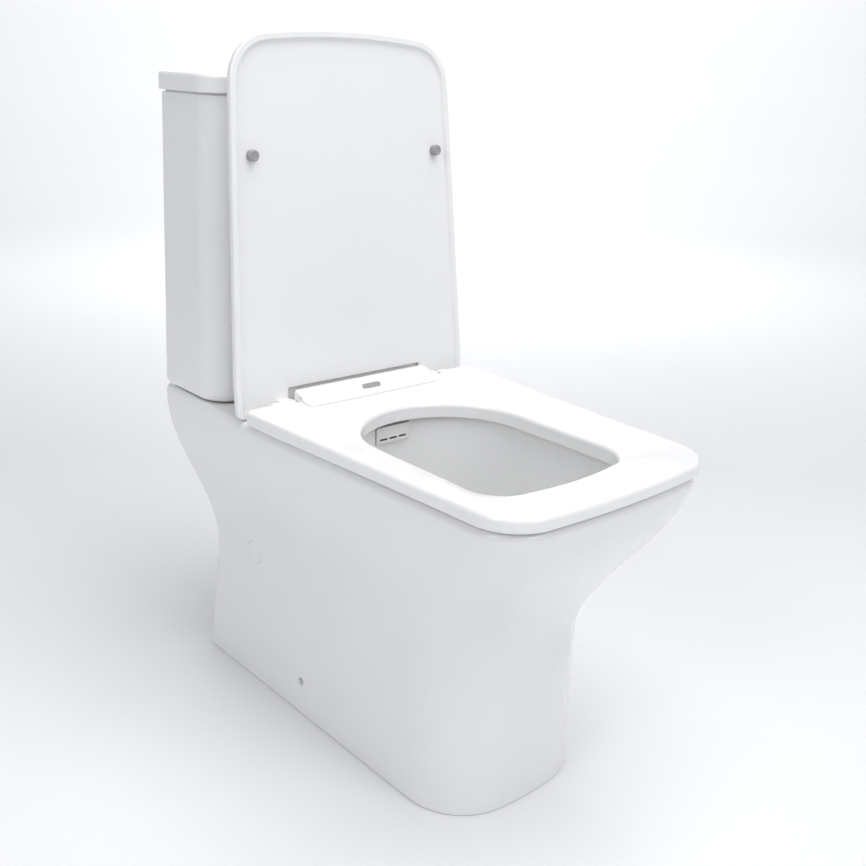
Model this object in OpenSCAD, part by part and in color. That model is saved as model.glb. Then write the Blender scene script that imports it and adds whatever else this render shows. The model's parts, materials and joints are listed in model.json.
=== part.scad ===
// Close coupled toilet: a shrouded pan with its cistern, seat, lid and the works inside.
// The front looks along -Y, the floor is z = 0 and +Z is up. The modules measure Y from the
// wall, and placed() then puts the origin on the floor under the middle of the toilet.

/* [Overall] */
// Distance from the wall to the front of the pan
pan_depth = 645; // [560:1:780]
// Height of the rim and of the shelf behind it
rim_height = 410; // [350:1:495]
// Widest width of the pan, under the seat
pan_width = 354; // [320:1:425]
// Height of the cistern body, without its cover
tank_height = 370; // [300:1:450]

/* [Pan] */
// Width of the pan across its shelf at the wall
shelf_width = 343; // [300:1:412]
// Width across the front corners of the rim
rim_front_width = 315; // [262:1:380]
// Radius of the two front corners of the rim
rim_corner = 56; // [30:1:70]
// How far the front of the rim bows forward of its corners
rim_bow = 11; // [4:1:16]
// Width of the foot at the wall
foot_width = 238; // [200:1:285]
// Width across the front corners of the foot
foot_front_width = 234; // [195:1:280]
// How far the foot stands back from the front of the rim
foot_setback = 102; // [60:1:130]
// Width of the narrow waist at the wall
waist_width = 203; // [170:1:238]
// Height of the waist above the floor
waist_height = 150; // [120:1:180]
// Thickness of the skirt
skirt_wall = 12; // [9:0.5:15]
// Thickness of the rim and of the shelf
shelf_wall = 14; // [11:0.5:17]
// Thickness of the bowl and of the trap
bowl_wall = 9; // [7:0.5:11]
// Width of the mouth of the bowl
bowl_width = 238; // [200:1:244]
// Rim left in front of the mouth of the bowl
rim_front_ledge = 61; // [50:1:75]
// Bore of the water way through the trap
trap_bore = 72; // [60:1:80]
// Height of the outlet's centre above the floor
outlet_height = 180; // [165:1:200]
// Outside diameter of the outlet spigot
outlet_diameter = 102; // [98:0.5:110]
// Length of the outlet spigot
outlet_length = 62; // [45:1:75]

/* [Seat] */
// Overall width of the seat and of its lid at the hinge
seat_width = 359; // [320:1:425]
// Width of the seat across its front corners
seat_front_width = 317; // [264:1:380]
// How far the seat reaches past the front of the pan
seat_overhang = 3; // [0:0.5:5]
// Thickness of the seat ring at its outer edge
ring_thickness = 17; // [16:0.5:18.5]
// Gap between the pan and the ring, filled by the ring's buffers
ring_gap = 3; // [2.5:0.1:4]
// How far the ring's top falls from its outer edge to its opening
ring_dish = 13; // [8:0.5:14]
// Width of the opening in the ring
opening_width = 216; // [180:1:220]
// Width of the ring in front of its opening
ring_front_band = 75; // [70:1:88]
// Distance from the hinge line to the opening
ring_rear_band = 66; // [62:1:80]
// Thickness of the lid
lid_thickness = 14; // [12:0.5:16]
// Gap between the lid's rim and the ring
lid_gap = 3; // [2.5:0.1:4]
// Width of the raised rim round the lid's inner face
lid_rim = 9; // [7:0.5:11]
// How far the lid leans back past upright when it is open
lid_lean = 4.6; // [2:0.1:6]
// Distance from the front of the cistern to the hinge line
hinge_setback = 75; // [70:1:90]
// Distance between the two hinge bolts
hinge_spacing = 155; // [150:1:160]
// Diameter of the hinge pins
hinge_pin = 8; // [7:0.1:8.4]
// Length of the raised bar at the back of the ring
hinge_bar = 208; // [204:1:214]

/* [Cistern] */
// Width of the cistern at its foot
tank_foot_width = 347; // [330:1:415]
// Width of the cistern at its top
tank_top_width = 323; // [310:1:387]
// Depth of the cistern from front to back
tank_depth = 134; // [128:1:160]
// Radius of the cistern's front corners
tank_corner = 40; // [25:1:48]
// Thickness of the cistern's walls
tank_wall = 9; // [7:0.5:10.5]
// Height of the cistern's cover
cover_height = 21; // [18:0.5:25]
// How far the cover reaches past the cistern
cover_overhang = 3.7; // [2:0.1:5]
// Diameter of the flush button's hole in the cover
button_hole = 40; // [38:0.5:44]
// Distance from the centre of the cistern to the fill valve
fill_valve_offset = 116; // [104:1:122]
// Distance between the two coupling bolts
coupling_spacing = 152; // [148:1:156]

/* [Fits] */
// Clearance round a pin or a rod that turns or slides
running_fit = 0.06; // [0.03:0.01:0.1]
// Clearance round a bolt in a clay hole
hole_clearance = 1; // [0.5:0.1:2]
// Clearance beside a knuckle in its slot
knuckle_gap = 1; // [0.7:0.1:1.2]

/* [Hidden] */
$fn = 48;

white_china = [0.96, 0.96, 0.955];
white_plastic = [0.95, 0.95, 0.95];
grey_rubber = [0.66, 0.67, 0.68];
dark_rubber = [0.15, 0.15, 0.16];
steel = [0.75, 0.76, 0.78];
chrome = [0.85, 0.86, 0.88];
blue_plastic = [0.2, 0.4, 0.75];
grey_plastic = [0.7, 0.71, 0.73];

// Heights
pad = 1.5;
tank_z0 = rim_height + pad;
tank_z1 = tank_z0 + tank_height;
tank_floor = tank_z0 + 10;
cover_shadow = 2;
cover_z0 = tank_z1 + cover_shadow;
cover_z1 = cover_z0 + cover_height;
ring_z0 = rim_height + ring_gap;
ring_z1 = ring_z0 + ring_thickness;
lid_z0 = ring_z1 + lid_gap;
lid_z1 = lid_z0 + lid_thickness;

// Hinge line
axis_y = -(tank_depth + 2 + hinge_setback);
axis_z = ring_z0 + ring_thickness / 2 + 0.5;
knuckle_r = ring_thickness / 2;
pin_r = hinge_pin / 2;
pin_bore = pin_r + running_fit;
post_x = hinge_spacing / 2;
post_half = 8;
bar_half = hinge_bar / 2;
bar_top = axis_z + 19;
lid_arm_in = bar_half + knuckle_gap + 1;
lid_arm_width = 18;
lid_arm_out = lid_arm_in + lid_arm_width;
lug_out = lid_arm_out + knuckle_gap + 14;
bar_front = 20;

// Bowl and opening
seat_front = -(pan_depth + seat_overhang);
opening_rear = axis_y - ring_rear_band;
opening_front = seat_front + ring_front_band;
lip_wall = 5;
bowl_rear = opening_rear + lip_wall + 5;
bowl_front = -(pan_depth - rim_front_ledge);
throat_z = rim_height - 38;
sump_z = 62;
sump_rear = bowl_rear - 34;
sump_front = sump_rear - 95;

// Cistern centre line
valve_y = -(2 + tank_depth / 2);
flush_bore = 26;
inlet_r = 38;
doughnut_r = 51;

function mix(a, b, t) = a + (b - a) * t;
function clamp01(t) = min(1, max(0, t));
function ease(t) = let (u = clamp01(t)) u * u * (3 - 2 * u);
function unit(v) = v / norm(v);

// ---- outlines -------------------------------------------------------------------
// One half of a rounded outline, from the middle of its back edge to the middle of its
// front edge: a back corner, a side that swells to a knee, a front corner, a bowed front.
function half_outline(back, knee, knee_y, front, y_back, y_front, r_front, bow, r_back) =
  let (
    big = (front * front + bow * bow) / (2 * bow),
    big_c = [0, y_front + big],
    m = [knee, knee_y],
    f = [front, y_front + bow],
    d = unit(f - m),
    n = [d[1], -d[0]],
    q = m + r_front * n - big_c,
    t = -(q * d) + sqrt(pow(q * d, 2) - q * q + pow(big - r_front, 2)),
    c = m + r_front * n + t * d,
    side_end = c - r_front * n,
    a0 = atan2(-n[1], -n[0]),
    a1 = atan2(c[1] - big_c[1], c[0])
  )
  concat(
    [for (i = [0:2]) [(back - r_back) * i / 3, y_back]],
    [for (i = [0:4]) [back - r_back + r_back * sin(90 * i / 4),
                      y_back - r_back + r_back * cos(90 * i / 4)]],
    [for (i = [1:4]) [mix(back, knee, sin(90 * i / 4)),
                      mix(y_back - r_back, knee_y, i / 4)]],
    [for (i = [1:6]) mix(m, side_end, i / 6)],
    [for (i = [1:8]) c + r_front * [cos(mix(a0, a1, i / 8)), sin(mix(a0, a1, i / 8))]],
    [for (i = [1:5]) big_c + big * [cos(mix(a1, -90, i / 5)), sin(mix(a1, -90, i / 5))]]
  );
function mirrored(h) = concat(h, [for (i = [len(h) - 2:-1:1]) [-h[i][0], h[i][1]]]);
function at_height(loop, z) = [for (p = loop) [p[0], p[1], z]];

// Closed solid through a stack of loops that all have the same number of points
module skin(loops) {
  n = len(loops[0]);
  k = len(loops);
  polyhedron(
    points = [for (l = loops) each l],
    faces = concat(
      [for (j = [0:k - 2], i = [0:n - 1])
        [j * n + i, j * n + (i + 1) % n, (j + 1) * n + (i + 1) % n, (j + 1) * n + i]],
      [[for (i = [n - 1:-1:0]) i]],
      [[for (i = [0:n - 1]) (k - 1) * n + i]]
    ),
    convexity = 10
  );
}

module both_sides() {
  children();
  mirror([1, 0, 0]) children();
}
module along_x(x0, x1) {
  translate([x0, 0, 0]) rotate([0, 90, 0]) linear_extrude(x1 - x0) children();
}

// ---- pan ------------------------------------------------------------------------
// How far the flare has opened at a height, for the sides and for the front
function flare_side(z) = ease((z - waist_height - 15) / (rim_height - 15 - waist_height - 15));
function flare_front(z) = ease((z - waist_height - 45) / (rim_height + 5 - waist_height - 45));
function foot_half(z) =
  mix(waist_width, foot_width, pow(clamp01((waist_height - z) / waist_height), 1.1)) / 2;
function back_half(z) = mix(foot_half(z), shelf_width / 2, flare_side(z));
function front_half(z) = mix(foot_front_width, rim_front_width, flare_front(z)) / 2;
function front_y(z) = -pan_depth + foot_setback * (1 - flare_front(z));
knee_y = axis_y - 12;
function side_at(z, y) =
  mix(back_half(z), front_half(z), clamp01(y / front_y(z)))
  + (pan_width / 2 - mix(shelf_width, rim_front_width, knee_y / -pan_depth) / 2)
    * flare_side(z) * ease(1 - abs(y - knee_y) / 220);
function pan_outline(z, inset, y_back) =
  mirrored(half_outline(
    back_half(z) - inset, side_at(z, knee_y) - inset, knee_y, front_half(z) - inset,
    y_back, front_y(z) + inset,
    mix(82, rim_corner, flare_front(z)) - inset, mix(15, rim_bow, flare_front(z)), 6));

pan_levels = concat(
  [0, 4, 45, 90, 130],
  [for (t = [0:0.09:0.999]) mix(waist_height + 5, rim_height - 12, t)]
);
// Rounded top edge of the rim, as pairs of drop and inset
rim_edge = [[10, 0], [5.5, 0.8], [2.2, 2.8], [0, 6.5]];

module pan_outside() {
  skin(concat(
    [for (z = pan_levels) at_height(pan_outline(z, z == 0 ? 1.5 : 0, 0), z)],
    [for (e = rim_edge)
      at_height(pan_outline(rim_height - e[0], e[1], 0), rim_height - e[0])]
  ));
}
module pan_hollow() {
  skin([for (z = concat([-1, 60, 120], [for (i = [0:7]) mix(waist_height + 5,
      rim_height - shelf_wall, i / 7)]))
    at_height(pan_outline(max(z, 0), skirt_wall, 12), z)]);
}

// Egg shaped loop of the bowl: round at the back, and the squarer at the front the smaller
// square is
function egg(half, y_back, y_front, z, square = 0.8) =
  let (mid = mix(y_back, y_front, 0.42))
  [for (i = [0:35]) let (a = -10 * i, s = sin(a), c = cos(a), p = s > 0 ? 1 : square)
    [half * sign(c) * pow(abs(c), p),
     mid + (s > 0 ? y_back - mid : mid - y_front) * sign(s) * pow(abs(s), p), z]];
function bowl_open(z) = pow(cos(90 * clamp01(pow((throat_z - z) / (throat_z - sump_z - 18), 1.15))), 0.9);
function bowl_loop(z, grow) =
  let (k = bowl_open(z))
  egg(mix(38, bowl_width / 2, k) + grow, mix(sump_rear, bowl_rear, k) + grow,
      mix(sump_front, bowl_front, k * k) - grow, z, mix(0.8, 0.4, pow(k, 6)));
bowl_levels = [for (t = [0:0.125:1]) mix(sump_z + 18, throat_z, pow(t, 0.9))];
module bowl_inside() {
  skin(concat(
    [egg(18, sump_rear - 14, sump_front + 14, sump_z),
     egg(30, sump_rear - 6, sump_front + 6, sump_z + 5)],
    [for (z = bowl_levels) bowl_loop(z, 0)], [bowl_loop(rim_height + 1, 0)]));
}
module bowl_outside() {
  skin(concat(
    [egg(18 + bowl_wall, sump_rear - 8, sump_front + 8, sump_z - bowl_wall),
     egg(30 + bowl_wall, sump_rear, sump_front, sump_z - 4)],
    [for (z = bowl_levels) bowl_loop(z, bowl_wall)],
    [bowl_loop(rim_height - 2, bowl_wall)]));
}

// Centre line of the trap: down out of the sump, up over the weir and back to the outlet
trap_r = trap_bore / 2;
weir_z = outlet_height + 35;
function cubic(p, t) =
  pow(1 - t, 3) * p[0] + 3 * t * pow(1 - t, 2) * p[1] + 3 * t * t * (1 - t) * p[2]
  + pow(t, 3) * p[3];
trap_rise = [[sump_rear - 46, sump_z + trap_r], [sump_rear + 12, sump_z + trap_r - 14],
             [sump_rear + 32, weir_z], [sump_rear + 88, weir_z]];
trap_fall = [[sump_rear + 88, weir_z], [sump_rear + 118, weir_z],
             [sump_rear + 122, outlet_height], [-outlet_length - 42, outlet_height]];
function trap_path() = concat([for (t = [0:0.125:0.99]) cubic(trap_rise, t)],
  [for (t = [0:0.2:1.01]) cubic(trap_fall, t)], [[-outlet_length - 20, outlet_height]]);
module trap_tube(r) {
  path = trap_path();
  k = len(path) - 1;
  skin([for (i = [0:k]) let (
      d = unit(path[min(k, i + 1)] - path[max(0, i - 1)]), u = [-d[1], d[0]])
    [for (j = [0:15]) let (a = 22.5 * j)
      [r * cos(a), path[i][0] + r * sin(a) * u[0], path[i][1] + r * sin(a) * u[1]]]]);
}

// Side fixings
cap_r = 16;
cap_y = -112;
cap_z = 187;
cap_seat = side_at(cap_z, cap_y) - 3;
screw_y = -233;
screw_z = 46;
screw_seat = side_at(screw_z, screw_y) - 8;

module pan_clay() {
  difference() {
    union() {
      difference() {
        pan_outside();
        pan_hollow();
      }
      bowl_outside();
      trap_tube(trap_r + bowl_wall);
      // flush water way from the cistern to the back of the bowl
      translate([-36, bowl_rear - 4, rim_height - 48])
        cube([72, valve_y - bowl_rear + 4, 40]);
      translate([0, valve_y, rim_height - 48]) cylinder(r = 60, h = 40);
    }
    bowl_inside();
    trap_tube(trap_r);
    translate([-27, bowl_rear - 12, rim_height - 38])
      cube([54, valve_y - bowl_rear + 12, 22]);
    // inlet and the seat of the doughnut
    translate([0, valve_y, rim_height - 38]) cylinder(r = inlet_r, h = 40);
    translate([0, valve_y, rim_height - 14]) cylinder(r = doughnut_r + hole_clearance, h = 20);
    // bolts of the cistern and of the seat, and the tail of the fill valve
    both_sides() translate([coupling_spacing / 2, valve_y, rim_height - 30])
      cylinder(r = 4 + hole_clearance, h = 40, $fn = 28);
    both_sides() translate([post_x, axis_y, rim_height - 30])
      cylinder(r = 4 + hole_clearance + 1, h = 40, $fn = 28);
    translate([fill_valve_offset, valve_y, rim_height - 30]) cylinder(r = 21, h = 40);
    // side holes
    both_sides() translate([cap_seat, cap_y, cap_z]) rotate([0, 90, 0]) {
      cylinder(r = cap_r + 0.3, h = 20);
      translate([0, 0, -30]) cylinder(r = 13, h = 60);
    }
    both_sides() translate([screw_seat, screw_y, screw_z]) rotate([0, 90, 0]) {
      cylinder(r = 5.5, h = 20, $fn = 28);
      translate([0, 0, -30]) cylinder(r = 3 + hole_clearance / 2, h = 60, $fn = 28);
    }
  }
}
// Spigot at the end of the trap, bored wide at its mouth
module outlet_spigot() translate([0, -12, outlet_height]) rotate([90, 0, 0]) difference() {
  cylinder(r = outlet_diameter / 2, h = outlet_length + 14);
  translate([0, 0, -1]) cylinder(r = outlet_diameter / 2 - 7, h = outlet_length - 4);
  translate([0, 0, -1]) cylinder(r = trap_r + 4, h = outlet_length + 20);
}
module pan() color(white_china) {
  resize([0, 0, 0]) pan_clay();
  outlet_spigot();
}

// Small cap that closes the hole to the outlet joint
module cover_cap() {
  translate([cap_seat, cap_y, cap_z]) rotate([0, 90, 0]) {
    cylinder(r = cap_r, h = 3);
    translate([0, 0, 3]) cylinder(r1 = cap_r, r2 = cap_r - 2, h = 1.4);
    translate([0, 0, -9]) difference() {
      cylinder(r = 12.7, h = 9.5);
      translate([0, 0, -1]) cylinder(r = 10.7, h = 9);
    }
  }
}
module cover_cap_right() color(white_plastic) cover_cap();
module cover_cap_left() color(white_plastic) mirror([1, 0, 0]) cover_cap();

// Angle bracket on the floor inside the skirt, which the side screw pulls on
module floor_bracket() {
  inner = side_at(screw_z, screw_y) - skirt_wall - 3;
  difference() {
    union() {
      translate([inner - 45, screw_y - 20, 0]) cube([45, 40, 4]);
      translate([inner - 14, screw_y - 20, 0]) cube([10, 40, 62]);
    }
    translate([inner - 31, screw_y, -1]) cylinder(r = 4, h = 6);
    translate([inner - 20, screw_y, screw_z]) rotate([0, 90, 0]) cylinder(r = 2.5, h = 30);
  }
}
module floor_bracket_right() color(grey_plastic) floor_bracket();
module floor_bracket_left() color(grey_plastic) mirror([1, 0, 0]) floor_bracket();

module side_screws() color(chrome) both_sides() {
  inner = side_at(screw_z, screw_y) - skirt_wall - 3;
  translate([screw_seat, screw_y, screw_z]) rotate([0, 90, 0]) difference() {
    cylinder(r = 5, h = 3);
    translate([-0.5, -3.5, 1.8]) cube([1, 7, 2]);
    translate([-3.5, -0.5, 1.8]) cube([7, 1, 2]);
  }
  translate([inner - 22, screw_y, screw_z]) rotate([0, 90, 0])
    cylinder(r = 2.45, h = screw_seat - inner + 22.5);
}

// Plastic nozzle that spreads the flush water at the back of the bowl
module flush_spreader() color(white_plastic) {
  z0 = rim_height - 37.5;
  difference() {
    translate([-26.5, bowl_rear - 6, z0]) cube([53, 25, 21]);
    translate([-23.5, bowl_rear - 3, z0 + 2]) cube([47, 40, 17]);
    for (s = [-1, 0, 1]) translate([s * 15 - 6, bowl_rear - 20, z0 + 3]) cube([12, 20, 3]);
  }
}

// ---- cistern --------------------------------------------------------------------
function tank_half(z) = mix(tank_foot_width, tank_top_width,
  clamp01((z - tank_z0) / tank_height)) / 2;
function tank_outline(half, y_back, y_front, r) =
  mirrored(half_outline(half, half, mix(y_back, y_front, 0.4), half, y_back, y_front, r, 3,
    10));
function tank_loop(z, inset) =
  at_height(tank_outline(tank_half(z) - inset, -2 - inset, -2 - tank_depth + inset,
    tank_corner - inset * 0.6), z);
tank_edge = [[0, 9], [2, 4.5], [6, 1.5], [12, 0]];

module tank() color(white_china) {
  difference() {
    resize([0, 0, 0]) difference() {
      skin(concat([for (e = tank_edge) tank_loop(tank_z0 + e[0], e[1])],
        [tank_loop(tank_z1 - 2, 0), tank_loop(tank_z1, 1.5)]));
      skin([tank_loop(tank_floor, tank_wall + 5), tank_loop(tank_floor + 6, tank_wall),
        tank_loop(tank_z1 + 1, tank_wall)]);
    }
    translate([0, valve_y, tank_z0 - 5]) cylinder(r = flush_bore + 5.5, h = 30);
    both_sides() translate([coupling_spacing / 2, valve_y, tank_z0 - 5])
      cylinder(r = 4 + hole_clearance, h = 30);
    translate([fill_valve_offset, valve_y, tank_z0 - 5]) cylinder(r = inlet_tail_r + hole_clearance, h = 30);
    both_sides() translate([tank_top_width / 2 - 45, 1, tank_z1 - 60]) rotate([90, 0, 0])
      cylinder(r = 4, h = 20);
  }
}

function cover_outline(grow) = tank_outline(tank_half(tank_z1) + grow, -2,
  -2 - tank_depth - grow, tank_corner + grow * 0.6);
module tank_cover() color(white_china) {
  g = cover_overhang;
  lip_z = tank_z1 - 9;
  difference() {
    resize([0, 0, 0]) difference() {
      union() {
        skin([at_height(cover_outline(g + 0.6), cover_z0),
          at_height(cover_outline(g + 0.2), cover_z0 + 6),
          at_height(cover_outline(g), cover_z1 - 5),
          at_height(cover_outline(g - 1.2), cover_z1 - 1.6),
          at_height(cover_outline(g - 4), cover_z1)]);
        skin([tank_loop(tank_z1, 3), tank_loop(cover_z0 + 1, 3)]);
        skin([at_height(tank_outline(tank_half(tank_z1) - tank_wall - 2.5,
            -4.5 - tank_wall, 0.5 - tank_depth + tank_wall, tank_corner - 7), lip_z),
          at_height(tank_outline(tank_half(tank_z1) - tank_wall - 2.5,
            -4.5 - tank_wall, 0.5 - tank_depth + tank_wall, tank_corner - 7), cover_z0)]);
      }
      skin([at_height(tank_outline(tank_half(tank_z1) - tank_wall - 9,
            -11 - tank_wall, 7 - tank_depth + tank_wall, tank_corner - 12), lip_z - 1),
          at_height(tank_outline(tank_half(tank_z1) - tank_wall - 9,
            -11 - tank_wall, 7 - tank_depth + tank_wall, tank_corner - 12), cover_z1 - 11)]);
    }
    translate([0, valve_y, cover_z0 - 5]) cylinder(r = button_hole / 2, h = 60);
  }
}

// Flush button: bezel, its nut, two buttons and their rods
bezel_bore = button_hole / 2 - 2.6;
button_r = bezel_bore - 0.35;
button_split = 4.5;
button_travel = 5;
button_z0 = cover_z1 - 7;
rod_z0 = tank_z1 - 80;
module button_bezel() color(chrome) translate([0, valve_y, 0]) difference() {
  union() {
    translate([0, 0, cover_z1]) cylinder(r = button_hole / 2 + 8, h = 1);
    translate([0, 0, cover_z1 + 1])
      cylinder(r1 = button_hole / 2 + 8, r2 = button_hole / 2 + 6.6, h = 1.4);
    translate([0, 0, tank_z1 - 16]) cylinder(r = button_hole / 2 - 0.3, h = cover_z1 - tank_z1 + 17);
  }
  translate([0, 0, button_z0 - button_travel - 1.2]) cylinder(r = bezel_bore, h = 40);
  translate([0, 0, tank_z1 - 20]) cylinder(r = bezel_bore - 4, h = 60);
}
module button_nut() color(white_plastic) translate([0, valve_y, cover_z1 - 18]) difference() {
  union() {
    cylinder(r = button_hole / 2 + 7, h = 7);
    for (a = [0:60:300]) rotate(a) translate([button_hole / 2 + 5, -2, 0]) cube([6, 4, 7]);
  }
  translate([0, 0, -1]) cylinder(r = button_hole / 2 - 0.2, h = 9);
}
// The wide button empties the whole cistern, the narrow one half of it
module button_full() color(chrome) intersection() {
  translate([0, valve_y, button_z0]) union() {
    cylinder(r = button_r, h = 9);
    translate([0, 0, 9]) cylinder(r1 = button_r, r2 = button_r - 1, h = 0.9);
  }
  translate([-button_split + 0.3, valve_y - 40, button_z0 - 1]) cube([60, 80, 14]);
}
module button_half() color(chrome) intersection() {
  translate([0, valve_y, button_z0]) union() {
    cylinder(r = button_r, h = 9);
    translate([0, 0, 9]) cylinder(r1 = button_r, r2 = button_r - 1, h = 0.9);
  }
  translate([-button_split - 0.3 - 60, valve_y - 40, button_z0 - 1]) cube([60, 80, 14]);
}
rod_full_x = 5;
rod_half_x = -9;
module push_rod(x) {
  translate([x, valve_y, rod_z0]) cylinder(r = 2.6, h = button_z0 - rod_z0);
  translate([x, valve_y, rod_z0]) cylinder(r = 3.4, h = 6);
}
module push_rod_full() color(grey_plastic) push_rod(rod_full_x);
module push_rod_half() color(grey_plastic) push_rod(rod_half_x);

// Flush valve: threaded tail, flange, cage, tower and head, bored right through
seat_z = tank_floor + 5.5;
cage_z = seat_z + 44;
head_z = rod_z0 - button_travel - 42;
flush_lift = 30;
module flush_valve_body() color(white_plastic) translate([0, valve_y, 0]) {
  difference() {
    union() {
      translate([0, 0, tank_z0 - 30]) cylinder(r = flush_bore + 4.7, h = 30 + tank_floor - tank_z0 + 4);
      translate([0, 0, tank_floor + 2.5]) cylinder(r = 46, h = 3);
      translate([0, 0, seat_z]) cylinder(r = flush_bore + 3, h = 2);
    }
    translate([0, 0, tank_z0 - 40]) cylinder(r = flush_bore, h = 80);
  }
  for (a = [45:90:315]) rotate(a) translate([36, -4, seat_z - 1]) cube([5, 8, cage_z - seat_z + 2]);
  translate([0, 0, cage_z]) difference() {
    cylinder(r = 42, h = 6);
    translate([0, 0, -1]) cylinder(r = 29, h = 8);
  }
  translate([0, 0, cage_z + 5]) difference() {
    cylinder(r = 34, h = head_z - cage_z - 4);
    translate([0, 0, -1]) cylinder(r = 31, h = head_z - cage_z + 2);
    for (a = [0, 90]) rotate(a) translate([-40, -9, 12]) cube([80, 18, head_z - cage_z - 45]);
  }
  translate([0, 0, head_z]) difference() {
    union() {
      cylinder(r = 34, h = 8);
      translate([-20, -14, 7]) cube([40, 28, 34.5]);
    }
    translate([0, 0, -1]) cylinder(r = 13, h = 40);
  }
}
module flush_valve_gasket() color(dark_rubber) translate([0, valve_y, tank_floor]) difference() {
  cylinder(r = 44, h = 2.5);
  translate([0, 0, -1]) cylinder(r = flush_bore + 5.5, h = 5);
}
module flush_valve_nut() color(white_plastic) translate([0, valve_y, tank_z0 - 11]) difference() {
  union() {
    cylinder(r = 33, h = 11);
    for (a = [0:45:315]) rotate(a) translate([32, -2, 0]) cube([2.5, 4, 9]);
  }
  translate([0, 0, -1]) cylinder(r = flush_bore + 4.8, h = 13);
}
module tank_doughnut() color(dark_rubber) translate([0, valve_y, rim_height - 14]) difference() {
  cylinder(r = doughnut_r, h = 14 + pad);
  translate([0, 0, -1]) cylinder(r = 35, h = 17 + pad);
}
module tank_pads() color(dark_rubber) both_sides()
  translate([92, -2 - tank_depth + 16, rim_height]) cube([50, 14, pad]);
// Overflow tube that the flush lifts, with its seal and its float
tube_top = head_z - flush_lift - 3;
module flush_tube() color(grey_plastic) translate([0, valve_y, 0]) difference() {
  union() {
    translate([0, 0, seat_z + 5.5]) cylinder(r = 31, h = 3.5);
    translate([0, 0, seat_z + 5.5]) cylinder(r = 12, h = tube_top - seat_z - 5.5);
    translate([0, 0, seat_z + 2]) cylinder(r = 12, h = 4);
  }
  translate([0, 0, seat_z + 1]) cylinder(r = 9.5, h = tube_top - seat_z + 5);
}
module flush_seal() color(blue_plastic) translate([0, valve_y, seat_z + 2]) difference() {
  cylinder(r = 32, h = 3.5);
  translate([0, 0, -1]) cylinder(r = 12 + running_fit, h = 6);
}
module flush_float() color(grey_plastic) translate([0, valve_y, cage_z + 30]) difference() {
  cylinder(r = 26, h = 42);
  translate([0, 0, -1]) cylinder(r = 12 + running_fit, h = 44);
  translate([0, 0, -1]) difference() {
    cylinder(r = 24, h = 39);
    translate([0, 0, -1]) cylinder(r = 14, h = 42);
  }
}

// Fill valve with its float cup, link and arm
fill_x = fill_valve_offset;
fill_top = tank_z1 - 130;
fill_r = 13;
inlet_tail_r = 10.48;
float_z = fill_top - 105;
float_travel = 10;
arm_pivot = [fill_x - 20, fill_top + 22];
arm_length = 46;
module fill_valve_body() color(white_plastic) translate([fill_x, valve_y, 0]) difference() {
  union() {
    translate([0, 0, tank_z0 - 38]) cylinder(r = inlet_tail_r, h = 38 + tank_floor - tank_z0 + 3);
    translate([0, 0, tank_floor + 2.5]) cylinder(r = 20, h = 4);
    translate([0, 0, tank_floor + 6]) cylinder(r = fill_r, h = fill_top - tank_floor - 6);
  }
  translate([0, 0, tank_z0 - 45]) cylinder(r = 7, h = fill_top - tank_z0 + 30);
}
module fill_valve_cap() color(blue_plastic) translate([fill_x, valve_y, fill_top]) {
  cylinder(r = 22, h = 14);
  translate([0, 0, 13]) cylinder(r1 = 22, r2 = 16, h = 5);
  for (s = [-1, 1]) translate([-24, s * 6.2 - 1.5, 8]) cube([9, 3, 18]);
  translate([-20, 7.7, 22]) rotate([90, 0, 0]) cylinder(r = 1.8, h = 15.4);
}
module fill_valve_gasket() color(dark_rubber) translate([fill_x, valve_y, tank_floor]) difference() {
  cylinder(r = 19, h = 2.5);
  translate([0, 0, -1]) cylinder(r = inlet_tail_r + running_fit, h = 5);
}
module fill_valve_nut() color(white_plastic) translate([fill_x, valve_y, tank_z0 - 11]) difference() {
  cylinder(r = 17, h = 11, $fn = 6);
  translate([0, 0, -1]) cylinder(r = inlet_tail_r + running_fit, h = 13);
}
link_x = fill_x - 20 + arm_length;
module float_cup() color(grey_plastic) translate([fill_x, valve_y, float_z]) difference() {
  cylinder(r = 30, h = 55);
  translate([0, 0, -1]) cylinder(r = fill_r + 0.35, h = 57);
  translate([0, 0, -1]) difference() {
    cylinder(r = 28, h = 52);
    translate([0, 0, -1]) cylinder(r = fill_r + 2.4, h = 55);
  }
}
module float_link() color(steel)
  translate([link_x, valve_y, float_z + 55]) {
    cylinder(r = 1.6, h = fill_top + 40 - float_z - 55);
    cylinder(r = 3.2, h = 5);
  }
module float_arm() color(white_plastic) difference() {
  union() {
    translate([arm_pivot[0], valve_y + 4, arm_pivot[1]]) rotate([90, 0, 0]) cylinder(r = 4.2, h = 8);
    translate([arm_pivot[0] + 2, valve_y - 3, arm_pivot[1] - 1.5]) cube([arm_length - 4, 6, 3]);
    translate([link_x, valve_y, arm_pivot[1] - 1.5]) cylinder(r = 6, h = 3);
  }
  translate([arm_pivot[0], valve_y + 5, arm_pivot[1]]) rotate([90, 0, 0])
    cylinder(r = 1.8 + running_fit, h = 10);
  translate([link_x, valve_y, arm_pivot[1] - 3]) cylinder(r = 4, h = 6);
}

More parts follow.
